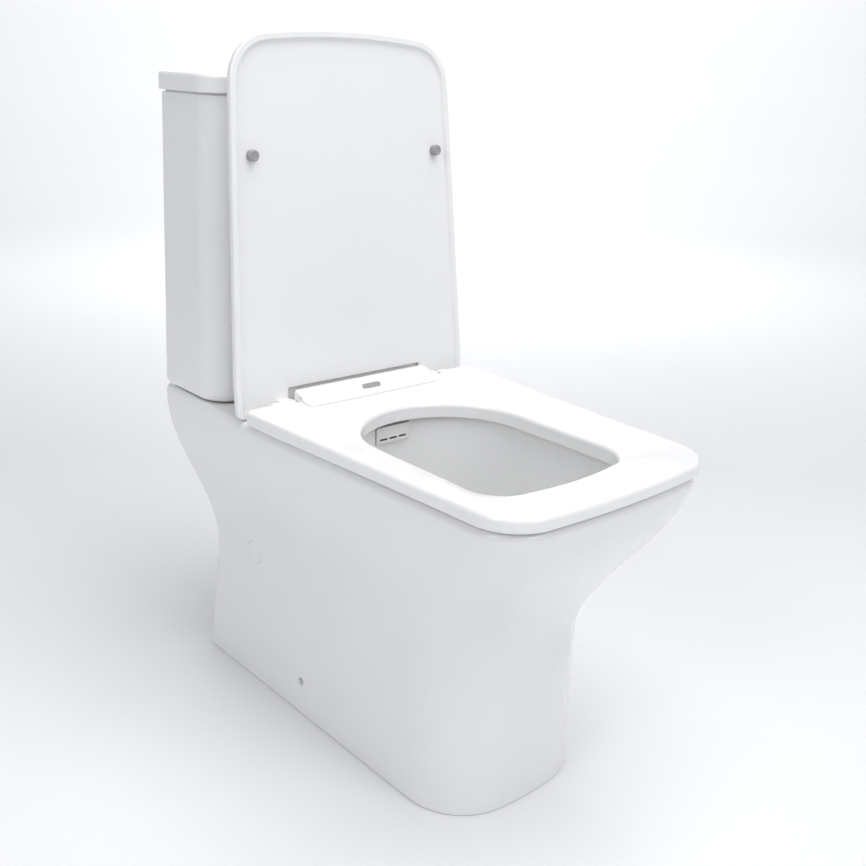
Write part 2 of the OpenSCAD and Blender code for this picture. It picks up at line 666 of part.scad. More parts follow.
// Bolts that hold the cistern down on the shelf
module coupling_bolts() color(steel) both_sides() translate([coupling_spacing / 2, valve_y, 0]) {
  translate([0, 0, tank_floor + 3]) cylinder(r = 7.5, h = 5);
  translate([0, 0, rim_height - 44]) cylinder(r = 4, h = tank_floor + 4 - rim_height + 44);
}
module coupling_washers() color(dark_rubber) both_sides()
  translate([coupling_spacing / 2, valve_y, tank_floor]) difference() {
    cylinder(r = 12, h = 3);
    translate([0, 0, -1]) cylinder(r = 4 + running_fit, h = 5);
  }
module wing_nut(h) {
  difference() {
    union() {
      cylinder(r = 8, h = h);
      cylinder(r = 12, h = 2);
      translate([-16, -1.75, 1]) cube([32, 3.5, h]);
    }
    translate([0, 0, -1]) cylinder(r = 4 + running_fit, h = h + 4);
  }
}
module coupling_wing_nuts() color(steel) both_sides()
  translate([coupling_spacing / 2, valve_y, rim_height - shelf_wall]) rotate([180, 0, 0])
    wing_nut(10);

// ---- seat -----------------------------------------------------------------------
// Outline of the ring and of the lid, from the hinge line to the front
function seat_outline(inset, y_back) =
  half_outline(seat_width / 2 - inset, seat_width / 2 - inset, axis_y - 36 - inset,
    seat_front_width / 2 - inset, y_back - inset, seat_front + inset, rim_corner - inset,
    rim_bow, 9 - min(inset, 5));

// Opening of the ring: an ellipse at the back and a rounded square at the front, with its
// points facing those of the outline
function half_opening(grow) =
  let (
    half = opening_width / 2 + grow,
    r = 44 + grow,
    back = opening_rear + grow,
    front = opening_front - grow,
    mid = mix(opening_rear, opening_front, 0.355)
  )
  concat(
    [for (i = [0:13]) [half * sin(90 * i / 13), mix(mid, back, cos(90 * i / 13))]],
    [for (i = [1:4]) [half, mix(mid, front + r + 6, i / 4)]],
    [for (i = [1:8]) [half - r + r * cos(90 * i / 8), front + r + 6 - r * sin(90 * i / 8)]],
    [for (i = [1:5]) [(half - r) * (1 - i / 5), front + 6 * pow(1 - i / 5, 2)]]
  );

// One slice across the ring, from the bottom outside, over the top, down to the lip
function ring_slice(o, i) =
  let (
    d = unit(i - o),
    w = norm(i - o),
    at = function (k) o + d * k,
    top = function (k) ring_z1 - ring_dish * pow(k / w, 1.6)
  )
  concat(
    [[at(5), ring_z0], [at(1.2), ring_z0 + 1], [at(0), ring_z0 + 4],
     [at(0.2), ring_z1 - 6], [at(2.2), ring_z1 - 1.6], [at(6), ring_z1 - 0.1]],
    [for (k = [0.2, 0.4, 0.6, 0.8]) [at(k * w), top(k * w)]],
    [[at(w - 5), top(w - 5) - 0.4], [at(w - 1.5), top(w) - 2.5], [at(w), top(w) - 7],
     [at(w), ring_z0 - 15], [at(w - lip_wall), ring_z0 - 15], [at(w - lip_wall), ring_z0]]
  );
module ring_body() {
  outer = mirrored(seat_outline(0, axis_y));
  inner = mirrored(half_opening(0));
  n = len(outer);
  slices = [for (j = [0:n - 1]) [for (q = ring_slice(outer[j], inner[j])) [q[0][0], q[0][1], q[1]]]];
  m = len(slices[0]);
  polyhedron(
    points = [for (s = slices) each s],
    faces = [for (j = [0:n - 1], k = [0:m - 1]) let (a = (j + 1) % n, b = (k + 1) % m)
      [j * m + k, a * m + k, a * m + b, j * m + b]],
    convexity = 10
  );
}
// Sloped bar along the hinge line, with the badge on its front face
module hinge_bar_solid() {
  along_x(-bar_half, bar_half) polygon([
    [-(ring_z0 + 2), axis_y - bar_front - 8],
    [-(ring_z1 - 1.2), axis_y - bar_front - 8],
    [-(ring_z1 + 0.2), axis_y - bar_front],
    [-(bar_top - 2), axis_y - 10],
    [-(bar_top - 0.6), axis_y - 8],
    [-bar_top, axis_y - 5],
    [-bar_top, axis_y + 5],
    [-(bar_top - 1), axis_y + 7.6],
    [-(bar_top - 3.5), axis_y + knuckle_r],
    [-axis_z, axis_y + knuckle_r],
    [-axis_z, axis_y],
    [-(ring_z0 + 2), axis_y]
  ]);
}
module ring_slot(x0, x1) {
  // room for a post, which stands still while the ring turns round it
  translate([x0, axis_y, axis_z]) rotate([0, 90, 0]) cylinder(r = knuckle_r + 0.7, h = x1 - x0);
  translate([x0, axis_y - 7.7, axis_z - 15]) cube([x1 - x0, 30, 15 + 7.7]);
}
module seat_ring() color(white_plastic) {
  difference() {
    union() {
      resize([0, 0, 0]) ring_body();
      hinge_bar_solid();
      translate([-lug_out, axis_y, axis_z]) rotate([0, 90, 0])
        cylinder(r = knuckle_r, h = 2 * lug_out);
    }
    both_sides() {
      ring_slot(post_x - post_half - knuckle_gap, post_x + post_half + knuckle_gap);
      translate([lid_arm_in - knuckle_gap, axis_y - 10, ring_z0 - 5])
        cube([lid_arm_width + 2 * knuckle_gap, 40, 60]);
      translate([22, axis_y, axis_z]) rotate([0, 90, 0]) cylinder(r = 6 + running_fit, h = 36);
      translate([57, axis_y, axis_z]) rotate([0, 90, 0]) cylinder(r = pin_bore, h = lug_out - 59);
    }
  }
}

// Point of the closed seat turned to where the open lid holds it
module lid_open() translate([0, axis_y, axis_z]) rotate([-90 - lid_lean, 0, 0])
  translate([0, -axis_y, -axis_z]) children();
lid_back = axis_y + 8.5;
lid_tray = 4;
cut_half = bar_half + 1.5;
lid_edge = [[0, 0.6], [2, 0], [7, 0.4], [10.5, 2.2], [13, 5.5], [14, 9.5]];
module lid_body() {
  difference() {
    skin([for (e = lid_edge) at_height(mirrored(seat_outline(e[1], lid_back)),
      lid_z0 + e[0] * lid_thickness / 14)]);
    // shallow tray on the inner face, open at the back
    skin([at_height(mirrored(seat_outline(lid_rim - 1.5, lid_back + 15)), lid_z0 - 1),
      at_height(mirrored(seat_outline(lid_rim - 1, lid_back + 15)), lid_z0 + 1),
      at_height(mirrored(seat_outline(lid_rim + 0.5, lid_back + 15)), lid_z0 + lid_tray - 1),
      at_height(mirrored(seat_outline(lid_rim + 2.5, lid_back + 15)), lid_z0 + lid_tray)]);
    // room for the raised bar of the ring, under a skin that covers it
    translate([-cut_half, axis_y - bar_front - 0.5, lid_z0 - 5])
      cube([2 * cut_half, 60, bar_top + 1.5 - lid_z0 + 5]);
  }
}
module seat_lid() color(white_plastic) lid_open() difference() {
  union() {
    resize([0, 0, 0]) lid_body();
    both_sides() {
      translate([lid_arm_in, axis_y, axis_z]) rotate([0, 90, 0])
        cylinder(r = knuckle_r - 1, h = lid_arm_width);
      translate([lid_arm_in, axis_y - 7.4, axis_z]) cube([lid_arm_width, 14.8, lid_z1 - 3 - axis_z]);
    }
  }
  both_sides() translate([lid_arm_in - 5, axis_y, axis_z]) rotate([0, 90, 0])
    cylinder(r = pin_bore, h = lid_arm_width + 10);
}

// Buffers
lid_buffer_y = axis_y - 298;
lid_buffer_x = 138;
module lid_buffers() color(grey_rubber) lid_open() both_sides()
  translate([lid_buffer_x, lid_buffer_y, ring_z1 - 2])
    cylinder(r = 6.5, h = lid_z0 + lid_tray + 2 - ring_z1);
module ring_buffers() color(grey_rubber) both_sides() {
  translate([138, axis_y - 70, rim_height]) cylinder(r = 7, h = ring_gap);
  translate([135, lid_buffer_y - 20, rim_height]) cylinder(r = 7, h = ring_gap);
}
// Plain oval plate on the sloped face of the bar
module badge_plate() color([0.6, 0.6, 0.6]) {
  mid_y = axis_y - bar_front / 2 - 5;
  mid_z = (ring_z1 + bar_top - 1.8) / 2;
  slope = atan2(bar_top - 2 - ring_z1 - 0.2, bar_front - 10);
  translate([0, mid_y, mid_z]) rotate([slope, 0, 0]) {
    translate([-11, 0, 0]) cylinder(r = 3.5, h = 0.7);
    translate([11, 0, 0]) cylinder(r = 3.5, h = 0.7);
    translate([-11, -3.5, 0]) cube([22, 7, 0.7]);
  }
}

// Hinge: post with its foot on the shelf, pin, damper, bolt, washer and wing nut
module hinge_post() {
  difference() {
    union() {
      translate([post_x, axis_y, rim_height]) cylinder(r = 15, h = ring_gap - 0.8);
      translate([post_x - post_half, axis_y - 6, rim_height]) cube([2 * post_half, 12, axis_z - rim_height]);
      translate([post_x - post_half, axis_y, axis_z]) rotate([0, 90, 0])
        cylinder(r = knuckle_r - 0.5, h = 2 * post_half);
    }
    translate([post_x - post_half - 1, axis_y, axis_z]) rotate([0, 90, 0])
      cylinder(r = pin_bore, h = 2 * post_half + 2);
    translate([post_x, axis_y, rim_height - 1]) cylinder(r = 4 + running_fit, h = 5);
  }
}
module hinge_post_right() color(white_plastic) hinge_post();
module hinge_post_left() color(white_plastic) mirror([1, 0, 0]) hinge_post();
module hinge_pin_solid() translate([58.2, axis_y, axis_z]) rotate([0, 90, 0])
  cylinder(r = pin_r, h = lug_out - 61);
module hinge_pin_right() color(steel) hinge_pin_solid();
module hinge_pin_left() color(steel) mirror([1, 0, 0]) hinge_pin_solid();
module damper_solid() translate([22.5, axis_y, axis_z]) rotate([0, 90, 0]) cylinder(r = 6, h = 35);
module damper_right() color(grey_plastic) damper_solid();
module damper_left() color(grey_plastic) mirror([1, 0, 0]) damper_solid();
module hinge_bolts() color(steel) both_sides()
  translate([post_x, axis_y, rim_height - 58]) cylinder(r = 4, h = 61.5);
module hinge_washers() color(dark_rubber) both_sides()
  translate([post_x, axis_y, rim_height - shelf_wall - 3]) difference() {
    cylinder(r = 13, h = 3);
    translate([0, 0, -1]) cylinder(r = 4 + running_fit, h = 5);
  }
module hinge_wing_nuts() color(white_plastic) both_sides()
  translate([post_x, axis_y, rim_height - shelf_wall - 3]) rotate([180, 0, 0]) wing_nut(14);

// The whole toilet with its origin under the middle of its box
module placed() translate([0, (pan_depth + seat_overhang) / 2, 0]) children();

placed() pan();
placed() tank();
placed() tank_cover();
placed() seat_ring();
placed() seat_lid();
placed() badge_plate();
placed() ring_buffers();
placed() lid_buffers();
placed() hinge_post_left();
placed() hinge_post_right();
placed() hinge_pin_left();
placed() hinge_pin_right();
placed() damper_left();
placed() damper_right();
placed() hinge_bolts();
placed() hinge_washers();
placed() hinge_wing_nuts();
placed() button_bezel();
placed() button_nut();
placed() button_full();
placed() button_half();
placed() push_rod_full();
placed() push_rod_half();
placed() flush_valve_body();
placed() flush_valve_gasket();
placed() flush_valve_nut();
placed() flush_tube();
placed() flush_seal();
placed() flush_float();
placed() tank_doughnut();
placed() tank_pads();
placed() fill_valve_body();
placed() fill_valve_cap();
placed() fill_valve_gasket();
placed() fill_valve_nut();
placed() float_cup();
placed() float_link();
placed() float_arm();
placed() coupling_bolts();
placed() coupling_washers();
placed() coupling_wing_nuts();
placed() cover_cap_left();
placed() cover_cap_right();
placed() floor_bracket_left();
placed() floor_bracket_right();
placed() side_screws();
placed() flush_spreader();
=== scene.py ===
import json
import math

import bmesh
import bpy
import numpy as np
from mathutils import Matrix, Vector


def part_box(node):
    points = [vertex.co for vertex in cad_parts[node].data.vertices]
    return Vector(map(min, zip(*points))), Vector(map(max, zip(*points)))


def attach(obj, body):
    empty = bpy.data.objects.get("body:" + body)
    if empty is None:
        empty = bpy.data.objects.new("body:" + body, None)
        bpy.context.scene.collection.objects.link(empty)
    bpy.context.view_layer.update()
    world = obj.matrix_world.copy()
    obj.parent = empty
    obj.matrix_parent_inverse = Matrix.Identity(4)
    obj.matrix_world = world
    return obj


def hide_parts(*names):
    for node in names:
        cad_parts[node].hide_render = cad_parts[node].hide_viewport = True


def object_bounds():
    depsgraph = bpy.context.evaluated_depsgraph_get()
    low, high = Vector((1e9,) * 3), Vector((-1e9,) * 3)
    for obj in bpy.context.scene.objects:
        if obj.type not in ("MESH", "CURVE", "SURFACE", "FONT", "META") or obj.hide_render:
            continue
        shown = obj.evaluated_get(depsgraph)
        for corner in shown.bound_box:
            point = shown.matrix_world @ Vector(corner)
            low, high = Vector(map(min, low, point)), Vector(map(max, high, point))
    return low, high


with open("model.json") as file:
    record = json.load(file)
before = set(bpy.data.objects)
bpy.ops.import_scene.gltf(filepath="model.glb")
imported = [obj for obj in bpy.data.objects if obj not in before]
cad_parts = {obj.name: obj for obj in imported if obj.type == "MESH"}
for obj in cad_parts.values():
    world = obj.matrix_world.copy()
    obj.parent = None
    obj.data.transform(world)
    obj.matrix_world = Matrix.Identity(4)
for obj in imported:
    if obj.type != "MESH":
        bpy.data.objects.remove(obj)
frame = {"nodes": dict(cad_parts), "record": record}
cad_box = [list(corner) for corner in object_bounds()]

# ---- Studio -------------------------------------------------------------------------
# A pale round floor that curves up into its own backdrop, four soft boxes, and a camera
# that stands left of the front, a little higher than the open lid, and looks down.
wall_y = cad_box[1][1]
eye = Vector((-0.7992, -1.2448 + wall_y, 0.8256))
turn, dip, roll = (math.radians(a) for a in (-41.7, 19.3, 2.2))
aim_back = Vector((math.sin(turn) * math.cos(dip), -math.cos(turn) * math.cos(dip), math.sin(dip)))
aim_side = Vector((math.cos(turn), math.sin(turn), 0))
aim_up = aim_back.cross(aim_side)
camera_x = aim_side * math.cos(roll) + aim_up * math.sin(roll)
camera_y = aim_up * math.cos(roll) - aim_side * math.sin(roll)
camera = bpy.data.objects.new("camera", bpy.data.cameras.new("camera"))
camera.data.lens, camera.data.sensor_width = 43.95, 36
camera.matrix_world = Matrix((
    (camera_x.x, camera_y.x, aim_back.x, eye.x),
    (camera_x.y, camera_y.y, aim_back.y, eye.y),
    (camera_x.z, camera_y.z, aim_back.z, eye.z),
    (0, 0, 0, 1),
))
bpy.context.collection.objects.link(camera)
bpy.context.scene.camera = camera
bpy.context.scene.view_settings.view_transform = "Standard"

world = bpy.data.worlds.new("studio")
bpy.context.scene.world = world
world.use_nodes = True
world.node_tree.nodes["Background"].inputs["Color"].default_value = (0.93, 0.95, 1, 1)
world.node_tree.nodes["Background"].inputs["Strength"].default_value = 0.38


def soft_box(name, place, size, watts, aim=(0, 0, 0.4)):
    light = bpy.data.lights.new(name, "AREA")
    light.shape, light.size, light.size_y, light.energy = "RECTANGLE", *size, watts
    obj = bpy.data.objects.new(name, light)
    obj.location = place
    obj.rotation_euler = (Vector(aim) - Vector(place)).to_track_quat("-Z", "Y").to_euler()
    obj.visible_camera = False
    bpy.context.collection.objects.link(obj)


soft_box("overhead_box", (0.1, -0.5, 3.0), (2.4, 2.0), 50)
soft_box("front_box", (0.4, -2.7, 2.8), (1.8, 1.4), 30)
soft_box("left_box", (-2.9, -0.6, 2.2), (1.2, 1.8), 21)
soft_box("rear_box", (1.6, 2.6, 1.9), (1.8, 1.4), 8)
soft_box("backdrop_box", (1.8, 2.0, 3.4), (3.0, 2.0), 150, (5.4, 6.0, 0.6))


def new_object(name, verts, faces):
    """A mesh object at the origin, with closed seams and its faces turned outwards"""
    mesh = bpy.data.meshes.new(name)
    mesh.from_pydata([tuple(map(float, v)) for v in verts], [], [tuple(f) for f in faces])
    shape = bmesh.new()
    shape.from_mesh(mesh)
    bmesh.ops.remove_doubles(shape, verts=shape.verts, dist=1e-6)
    bmesh.ops.recalc_face_normals(shape, faces=shape.faces)
    shape.to_mesh(mesh)
    shape.free()
    obj = bpy.data.objects.new(name, mesh)
    bpy.context.collection.objects.link(obj)
    return obj


def skin(loops, ends=True):
    """Verts and faces of a skin through loops with the same number of points each"""
    count = len(loops[0])
    faces = [
        (j * count + i, j * count + (i + 1) % count, (j + 1) * count + (i + 1) % count, (j + 1) * count + i)
        for j in range(len(loops) - 1) for i in range(count)
    ]
    if ends:
        faces += [tuple(range(count)), tuple(range((len(loops) - 1) * count, len(loops) * count))]
    return np.vstack(loops), faces


floor_profile = [(0.001, 0), (2, 0), (4.5, 0)]
floor_profile += [(4.5 + 2.5 * math.sin(a), 2.5 - 2.5 * math.cos(a)) for a in np.linspace(0.15, 1.5, 12)]
floor_turns = np.linspace(0, 2 * math.pi, 96, endpoint=False)
floor_loops = [
    np.array([(r * math.cos(t), r * math.sin(t), z) for t in floor_turns]) for r, z in floor_profile
]
floor_verts, floor_faces = skin(floor_loops, ends=False)
floor = new_object("floor", floor_verts, floor_faces)
floor.data.shade_smooth()


# ---- Materials' common ground ---------------------------------------------------------
# Every surface is a principled shader whose tone, gloss and relief wander a little, at the
# scale of the real finish.
def finish(
    name, tone, other_tone, gloss, grain, relief, metal=0.0, coat=0.0, ior=1.5, stretch=(1, 1, 1)
):
    """tone and other_tone are the two colours that mix, gloss the lowest and highest roughness,
    grain the sizes in metres of the tone's patches and of the relief, relief its depth in metres"""
    material = bpy.data.materials.new(name)
    material.use_nodes = True
    nodes, links = material.node_tree.nodes, material.node_tree.links
    shader = nodes["Principled BSDF"]
    shader.inputs["Metallic"].default_value = metal
    shader.inputs["Coat Weight"].default_value = coat
    shader.inputs["Coat Roughness"].default_value = 0.04
    shader.inputs["IOR"].default_value = ior
    place = nodes.new("ShaderNodeTexCoord")
    mapping = nodes.new("ShaderNodeMapping")
    mapping.inputs["Scale"].default_value = stretch
    links.new(place.outputs["Object"], mapping.inputs["Vector"])

    def noise(size, detail):
        node = nodes.new("ShaderNodeTexNoise")
        node.inputs["Scale"].default_value = 1 / size
        node.inputs["Detail"].default_value = detail
        links.new(mapping.outputs["Vector"], node.inputs["Vector"])
        return node

    patches, fine = noise(grain[0], 3), noise(grain[1], 2)
    mix = nodes.new("ShaderNodeMix")
    mix.data_type = "RGBA"
    mix.inputs["A"].default_value = (*tone, 1)
    mix.inputs["B"].default_value = (*other_tone, 1)
    links.new(patches.outputs["Fac"], mix.inputs["Factor"])
    links.new(mix.outputs["Result"], shader.inputs["Base Color"])
    spread = nodes.new("ShaderNodeMapRange")
    spread.inputs["From Min"].default_value, spread.inputs["From Max"].default_value = 0.3, 0.7
    spread.inputs["To Min"].default_value, spread.inputs["To Max"].default_value = gloss
    links.new(patches.outputs["Fac"], spread.inputs["Value"])
    links.new(spread.outputs["Result"], shader.inputs["Roughness"])
    bump = nodes.new("ShaderNodeBump")
    bump.inputs["Strength"].default_value = 0.6
    bump.inputs["Distance"].default_value = relief
    links.new(fine.outputs["Fac"], bump.inputs["Height"])
    links.new(bump.outputs["Normal"], shader.inputs["Normal"])
    return material


studio_paint = finish(
    "studio_paint", (0.86, 0.865, 0.87), (0.88, 0.885, 0.89), (0.55, 0.7), (0.6, 0.05), 0.0002
)
floor.data.materials.append(studio_paint)


# ---- Pan ------------------------------------------------------------------------------
# Vitreous china, slip cast in one piece: a bowl and its trap inside a skirt that runs back to
# the wall, with a flat rim and shelf on top. It is glazed all over, and its foot is level.
rim_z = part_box("pan")[1].z
rim_front = 0.645
shelf_half, rim_front_half, widest_half = 0.1715, 0.1575, 0.177
foot_half_wall, foot_half_front, foot_back = 0.119, 0.117, 0.102
waist_half, waist_z = 0.1015, 0.15
hinge_y, hinge_z = -0.211, rim_z + 0.012
pan_knee = hinge_y - 0.012
skirt_wall, bowl_wall = 0.012, 0.009


def smooth_step(t):
    t = np.clip(t, 0, 1)
    return t * t * (3 - 2 * t)


def blend(a, b, t):
    return a + (b - a) * t


def outline(back, knee, front, y_back, y_knee, y_front, corner, bow, back_corner, easing=3):
    """Closed outline from the middle of the back edge, past a side that swells to a knee and a
    front corner, to a bowed front, and back along the other side. Y is measured from the wall."""
    big = (front**2 + bow**2) / (2 * bow)
    centre = np.array([0, y_front + big])
    side_start, target = np.array([knee, y_knee]), np.array([front, y_front + bow])
    along = (target - side_start) / np.linalg.norm(target - side_start)
    inward = np.array([along[1], -along[0]])
    q = side_start + corner * inward - centre
    reach = -(q @ along) + math.sqrt((q @ along) ** 2 - q @ q + (big - corner) ** 2)
    hub = side_start + corner * inward + reach * along
    side_end = hub - corner * inward
    first = math.atan2(-inward[1], -inward[0])
    last = math.atan2(hub[1] - centre[1], hub[0] - centre[0])
    half = [((back - back_corner) * t, y_back) for t in np.linspace(0, 1, 14, endpoint=False)]
    half += [
        (back - back_corner + back_corner * math.sin(a), y_back - back_corner + back_corner * math.cos(a))
        for a in np.linspace(0, math.pi / 2, 10, endpoint=False)
    ]
    half += [
        (blend(back, knee, math.sin(t * math.pi / 2)), blend(y_back - back_corner, y_knee, t))
        for t in np.linspace(0, 1, 20, endpoint=False)
    ]
    half += [tuple(blend(side_start, side_end, t)) for t in np.linspace(0, 1, 30, endpoint=False)]
    half += [
        (hub[0] + corner * math.cos(a), hub[1] + corner * math.sin(a))
        for a in np.linspace(first, last, 26, endpoint=False)
    ]
    half += [
        (centre[0] + big * math.cos(a), centre[1] + big * math.sin(a))
        for a in np.linspace(last, -math.pi / 2, 16)
    ]
    half = np.array(half)
    whole = np.vstack([half, half[-2:0:-1] * [-1, 1]])
    for _ in range(easing):
        whole = (np.roll(whole, 1, 0) + 2 * whole + np.roll(whole, -1, 0)) / 4
    return whole


def level(flat, z):
    """A flat outline lifted to a height and moved to the frame's own origin"""
    return np.column_stack([flat[:, 0], flat[:, 1] + wall_y, np.full(len(flat), z)])


def flare_side(z):
    return smooth_step((z - waist_z - 0.015) / (rim_z - 0.015 - waist_z - 0.015))


def flare_front(z):
    return smooth_step((z - waist_z - 0.045) / (rim_z + 0.005 - waist_z - 0.045))


def pan_outline(z, inset=0.0, y_back=0.0):
    side, front = flare_side(z), flare_front(z)
    waist = blend(waist_half, foot_half_wall, np.clip((waist_z - z) / waist_z, 0, 1) ** 1.1)
    back = blend(waist, shelf_half, side)
    nose_half = blend(foot_half_front, rim_front_half, front)
    nose_y = -rim_front + foot_back * (1 - front)
    swell = widest_half - blend(shelf_half, rim_front_half, pan_knee / -rim_front)
    knee = blend(back, nose_half, np.clip(pan_knee / nose_y, 0, 1)) + swell * side
    return outline(
        back - inset, knee - inset, nose_half - inset, y_back, pan_knee, nose_y + inset,
        blend(0.082, 0.056, front) - inset, blend(0.015, 0.011, front), 0.006,
    )


def rounded_edge(radius, drop, steps=8):
    """Pairs of distance below the top and inset, round a quarter of an ellipse"""
    return [
        (drop * (1 - math.sin(a)), radius * (1 - math.cos(a))) for a in np.linspace(0, math.pi / 2, steps)
    ]


foot_radius = 0.003
skirt_loops = [
    level(pan_outline(0.0, foot_radius * (1 - math.sin(a))), foot_radius * (1 - math.cos(a)))
    for a in np.linspace(0, math.pi / 2, 5)
]
skirt_loops += [level(pan_outline(z), z) for z in np.linspace(0.004, rim_z - 0.0102, 64)]
skirt_loops += [
    level(pan_outline(rim_z - drop, inset), rim_z - drop) for drop, inset in rounded_edge(0.0065, 0.010)
]

bowl_back, bowl_front, bowl_half = -0.267, -0.584, 0.119
throat_z, sump_z = rim_z - 0.038, 0.062
sump_back, sump_front = bowl_back - 0.034, bowl_back - 0.129
mouth_square = 0.40


def egg(half, y_back, y_front, z, square=0.8, around=148):
    """Bowl's loop: a half ellipse at the back, and at the front the squarer the smaller square is"""
    middle = blend(y_back, y_front, 0.42)
    turn_angles = -np.linspace(0, 2 * math.pi, around, endpoint=False)
    sine, cosine = np.sin(turn_angles), np.cos(turn_angles)
    power = 1 - (1 - square) * smooth_step(0.5 - 2 * sine)
    reach = np.where(sine > 0, y_back - middle, middle - y_front)
    flat = np.column_stack([
        half * np.sign(cosine) * np.abs(cosine) ** power, middle + reach * np.sign(sine) * np.abs(sine) ** power
    ])
    return level(flat, z)


def bowl_loop(z, grow):
    sunk = np.clip((throat_z - z) / (throat_z - sump_z - 0.018), 0, 1) ** 1.15
    wide = max(math.cos(math.pi / 2 * sunk), 0) ** 0.9
    return egg(
        blend(0.038, bowl_half, wide) + grow, blend(sump_back, bowl_back, wide) + grow,
        blend(sump_front, bowl_front, wide * wide) - grow, z, blend(0.8, mouth_square, wide**6),
    )


bowl_heights = blend(sump_z + 0.0185, throat_z, np.linspace(0, 1, 44) ** 0.85)
sump_floor = [(0.004, 0, 0.020), (0.014, 0.0004, 0.017), (0.022, 0.0022, 0.011), (0.031, 0.0075, 0.0045)]


def bowl_skin(grow, top):
    loops = [
        egg(half + grow, sump_back - tuck + grow, sump_front + tuck - grow, sump_z + rise - grow)
        for half, rise, tuck in sump_floor
    ]
    loops += [bowl_loop(z, grow) for z in bowl_heights]
    return loops + top


mouth_round = 0.012
mouth_edge = [(rim_z - drop, 0.0) for drop in (0.030, 0.020, mouth_round)]
mouth_edge += [
    (rim_z - mouth_round * (1 - math.sin(a)), mouth_round * (1 - math.cos(a)))
    for a in np.linspace(0.25, math.pi / 2, 7)
]
mouth_edge += [(rim_z + 0.002, mouth_round)]
mouth = [
    egg(bowl_half + inset, bowl_back + inset, bowl_front - inset, z, mouth_square) for z, inset in mouth_edge
]

trap_bore, trap_outside, weir_z, outlet_z = 0.036, 0.045, 0.215, 0.180
trap_rise = [
    (sump_back - 0.046, sump_z + 0.036), (sump_back + 0.012, sump_z + 0.022),
    (sump_back + 0.032, weir_z), (sump_back + 0.088, weir_z),
]
trap_fall = [
    (sump_back + 0.088, weir_z), (sump_back + 0.118, weir_z), (sump_back + 0.122, outlet_z), (-0.104, outlet_z)
]


def bezier(points, t):
    a, b, c, d = (np.array(p) for p in points)
    return (1 - t) ** 3 * a + 3 * t * (1 - t) ** 2 * b + 3 * t * t * (1 - t) * c + t**3 * d


def trap_skin(radius, reach, around=48):
    path = [bezier(trap_rise, t) for t in np.linspace(0, 1, 26, endpoint=False)]
    path += [bezier(trap_fall, t) for t in np.linspace(0, 1, 20)] + [np.array((reach, outlet_z))]
    turns = np.linspace(0, 2 * math.pi, around, endpoint=False)
    loops = []
    for i, (y, z) in enumerate(path):
        step = path[min(i + 1, len(path) - 1)] - path[max(i - 1, 0)]
        step = step / np.linalg.norm(step)
        ring = [(radius * math.cos(a), radius * math.sin(a)) for a in turns]
        loops.append(np.array([(x, wall_y + y - up * step[1], z + up * step[0]) for x, up in ring]))
    return loops


def rod(start, end, radius, around=64):
    """A closed cylinder between two points, with Y measured from the wall"""
    a, b = (Vector((p[0], p[1] + wall_y, p[2])) for p in (start, end))
    turned = (b - a).to_track_quat("Z", "Y")
    turns = np.linspace(0, 2 * math.pi, around, endpoint=False)
    rim = [turned @ Vector((math.cos(t), math.sin(t), 0)) for t in turns]
    return skin([np.array([p + radius * r for r in rim]) for p in (a, b)])


def block(low, high):
    """A closed box between two corners, with Y measured from the wall"""
    flat = np.array([(low[0], low[1]), (low[0], high[1]), (high[0], high[1]), (high[0], low[1])])
    return skin([level(flat, low[2]), level(flat, high[2])])


ADD, CUT = "UNION", "DIFFERENCE"


def carve(name, body, *steps):
    """One closed solid made of body, changed by each step: a pair of ADD or CUT and a skin"""
    base = new_object(name, *body)
    extras = []
    for how, part in steps:
        other = new_object("extra", *part)
        change = base.modifiers.new("change", "BOOLEAN")
        change.operation, change.solver, change.object = how, "MANIFOLD", other
        extras.append(other)
    return settle(base, extras)


def settle(obj, extras=()):
    """Applies an object's modifiers, and removes the objects that they used"""
    graph = bpy.context.evaluated_depsgraph_get()
    made = bpy.data.meshes.new_from_object(obj.evaluated_get(graph), depsgraph=graph)
    obj.modifiers.clear()
    obj.data = made
    for extra in extras:
        bpy.data.objects.remove(extra)
    return obj


def polish(obj, crease=32.0, soften=0.0, segments=2):
    """Smooth shading that keeps real creases, after an optional softening of those creases"""
    shape = bmesh.new()
    shape.from_mesh(obj.data)
    bmesh.ops.dissolve_degenerate(shape, edges=shape.edges, dist=1e-6)
    limit = math.radians(crease)
    if soften:
        bmesh.ops.dissolve_limit(shape, angle_limit=0.003, verts=shape.verts, edges=shape.edges)
        sharp = [e for e in shape.edges if len(e.link_faces) == 2 and e.calc_face_angle() > limit]
        bmesh.ops.bevel(
            shape, geom=sharp, offset=soften, segments=segments, profile=0.5, affect="EDGES",
            clamp_overlap=True, offset_type="OFFSET",
        )
    for face in shape.faces:
        face.smooth = True
    for edge in shape.edges:
        edge.smooth = len(edge.link_faces) == 2 and edge.calc_face_angle() < limit
    shape.to_mesh(obj.data)
    shape.free()
    weighting = obj.modifiers.new("weighting", "WEIGHTED_NORMAL")
    weighting.keep_sharp, weighting.weight = True, 80
    return settle(obj)


china = finish(
    "china_glaze", (0.84, 0.842, 0.84), (0.86, 0.862, 0.862), (0.05, 0.10), (0.16, 0.035), 0.00004,
    coat=0.5, ior=1.52,
)

valve_y, coupling_x, hinge_hole_x, supply_x = -0.069, 0.076, 0.0775, 0.116
cap_y, cap_z, screw_y, screw_z = -0.112, 0.187, -0.233, 0.046
fine = 96


def skirt_face(y, z):
    """Half width of the skirt at a place on its side"""
    flat = pan_outline(z)
    side = flat[(flat[:, 0] > 0.05) & (flat[:, 1] > -0.5) & (flat[:, 1] < -0.008)]
    order = np.argsort(side[:, 1])
    return float(np.interp(y, side[order, 1], side[order, 0]))


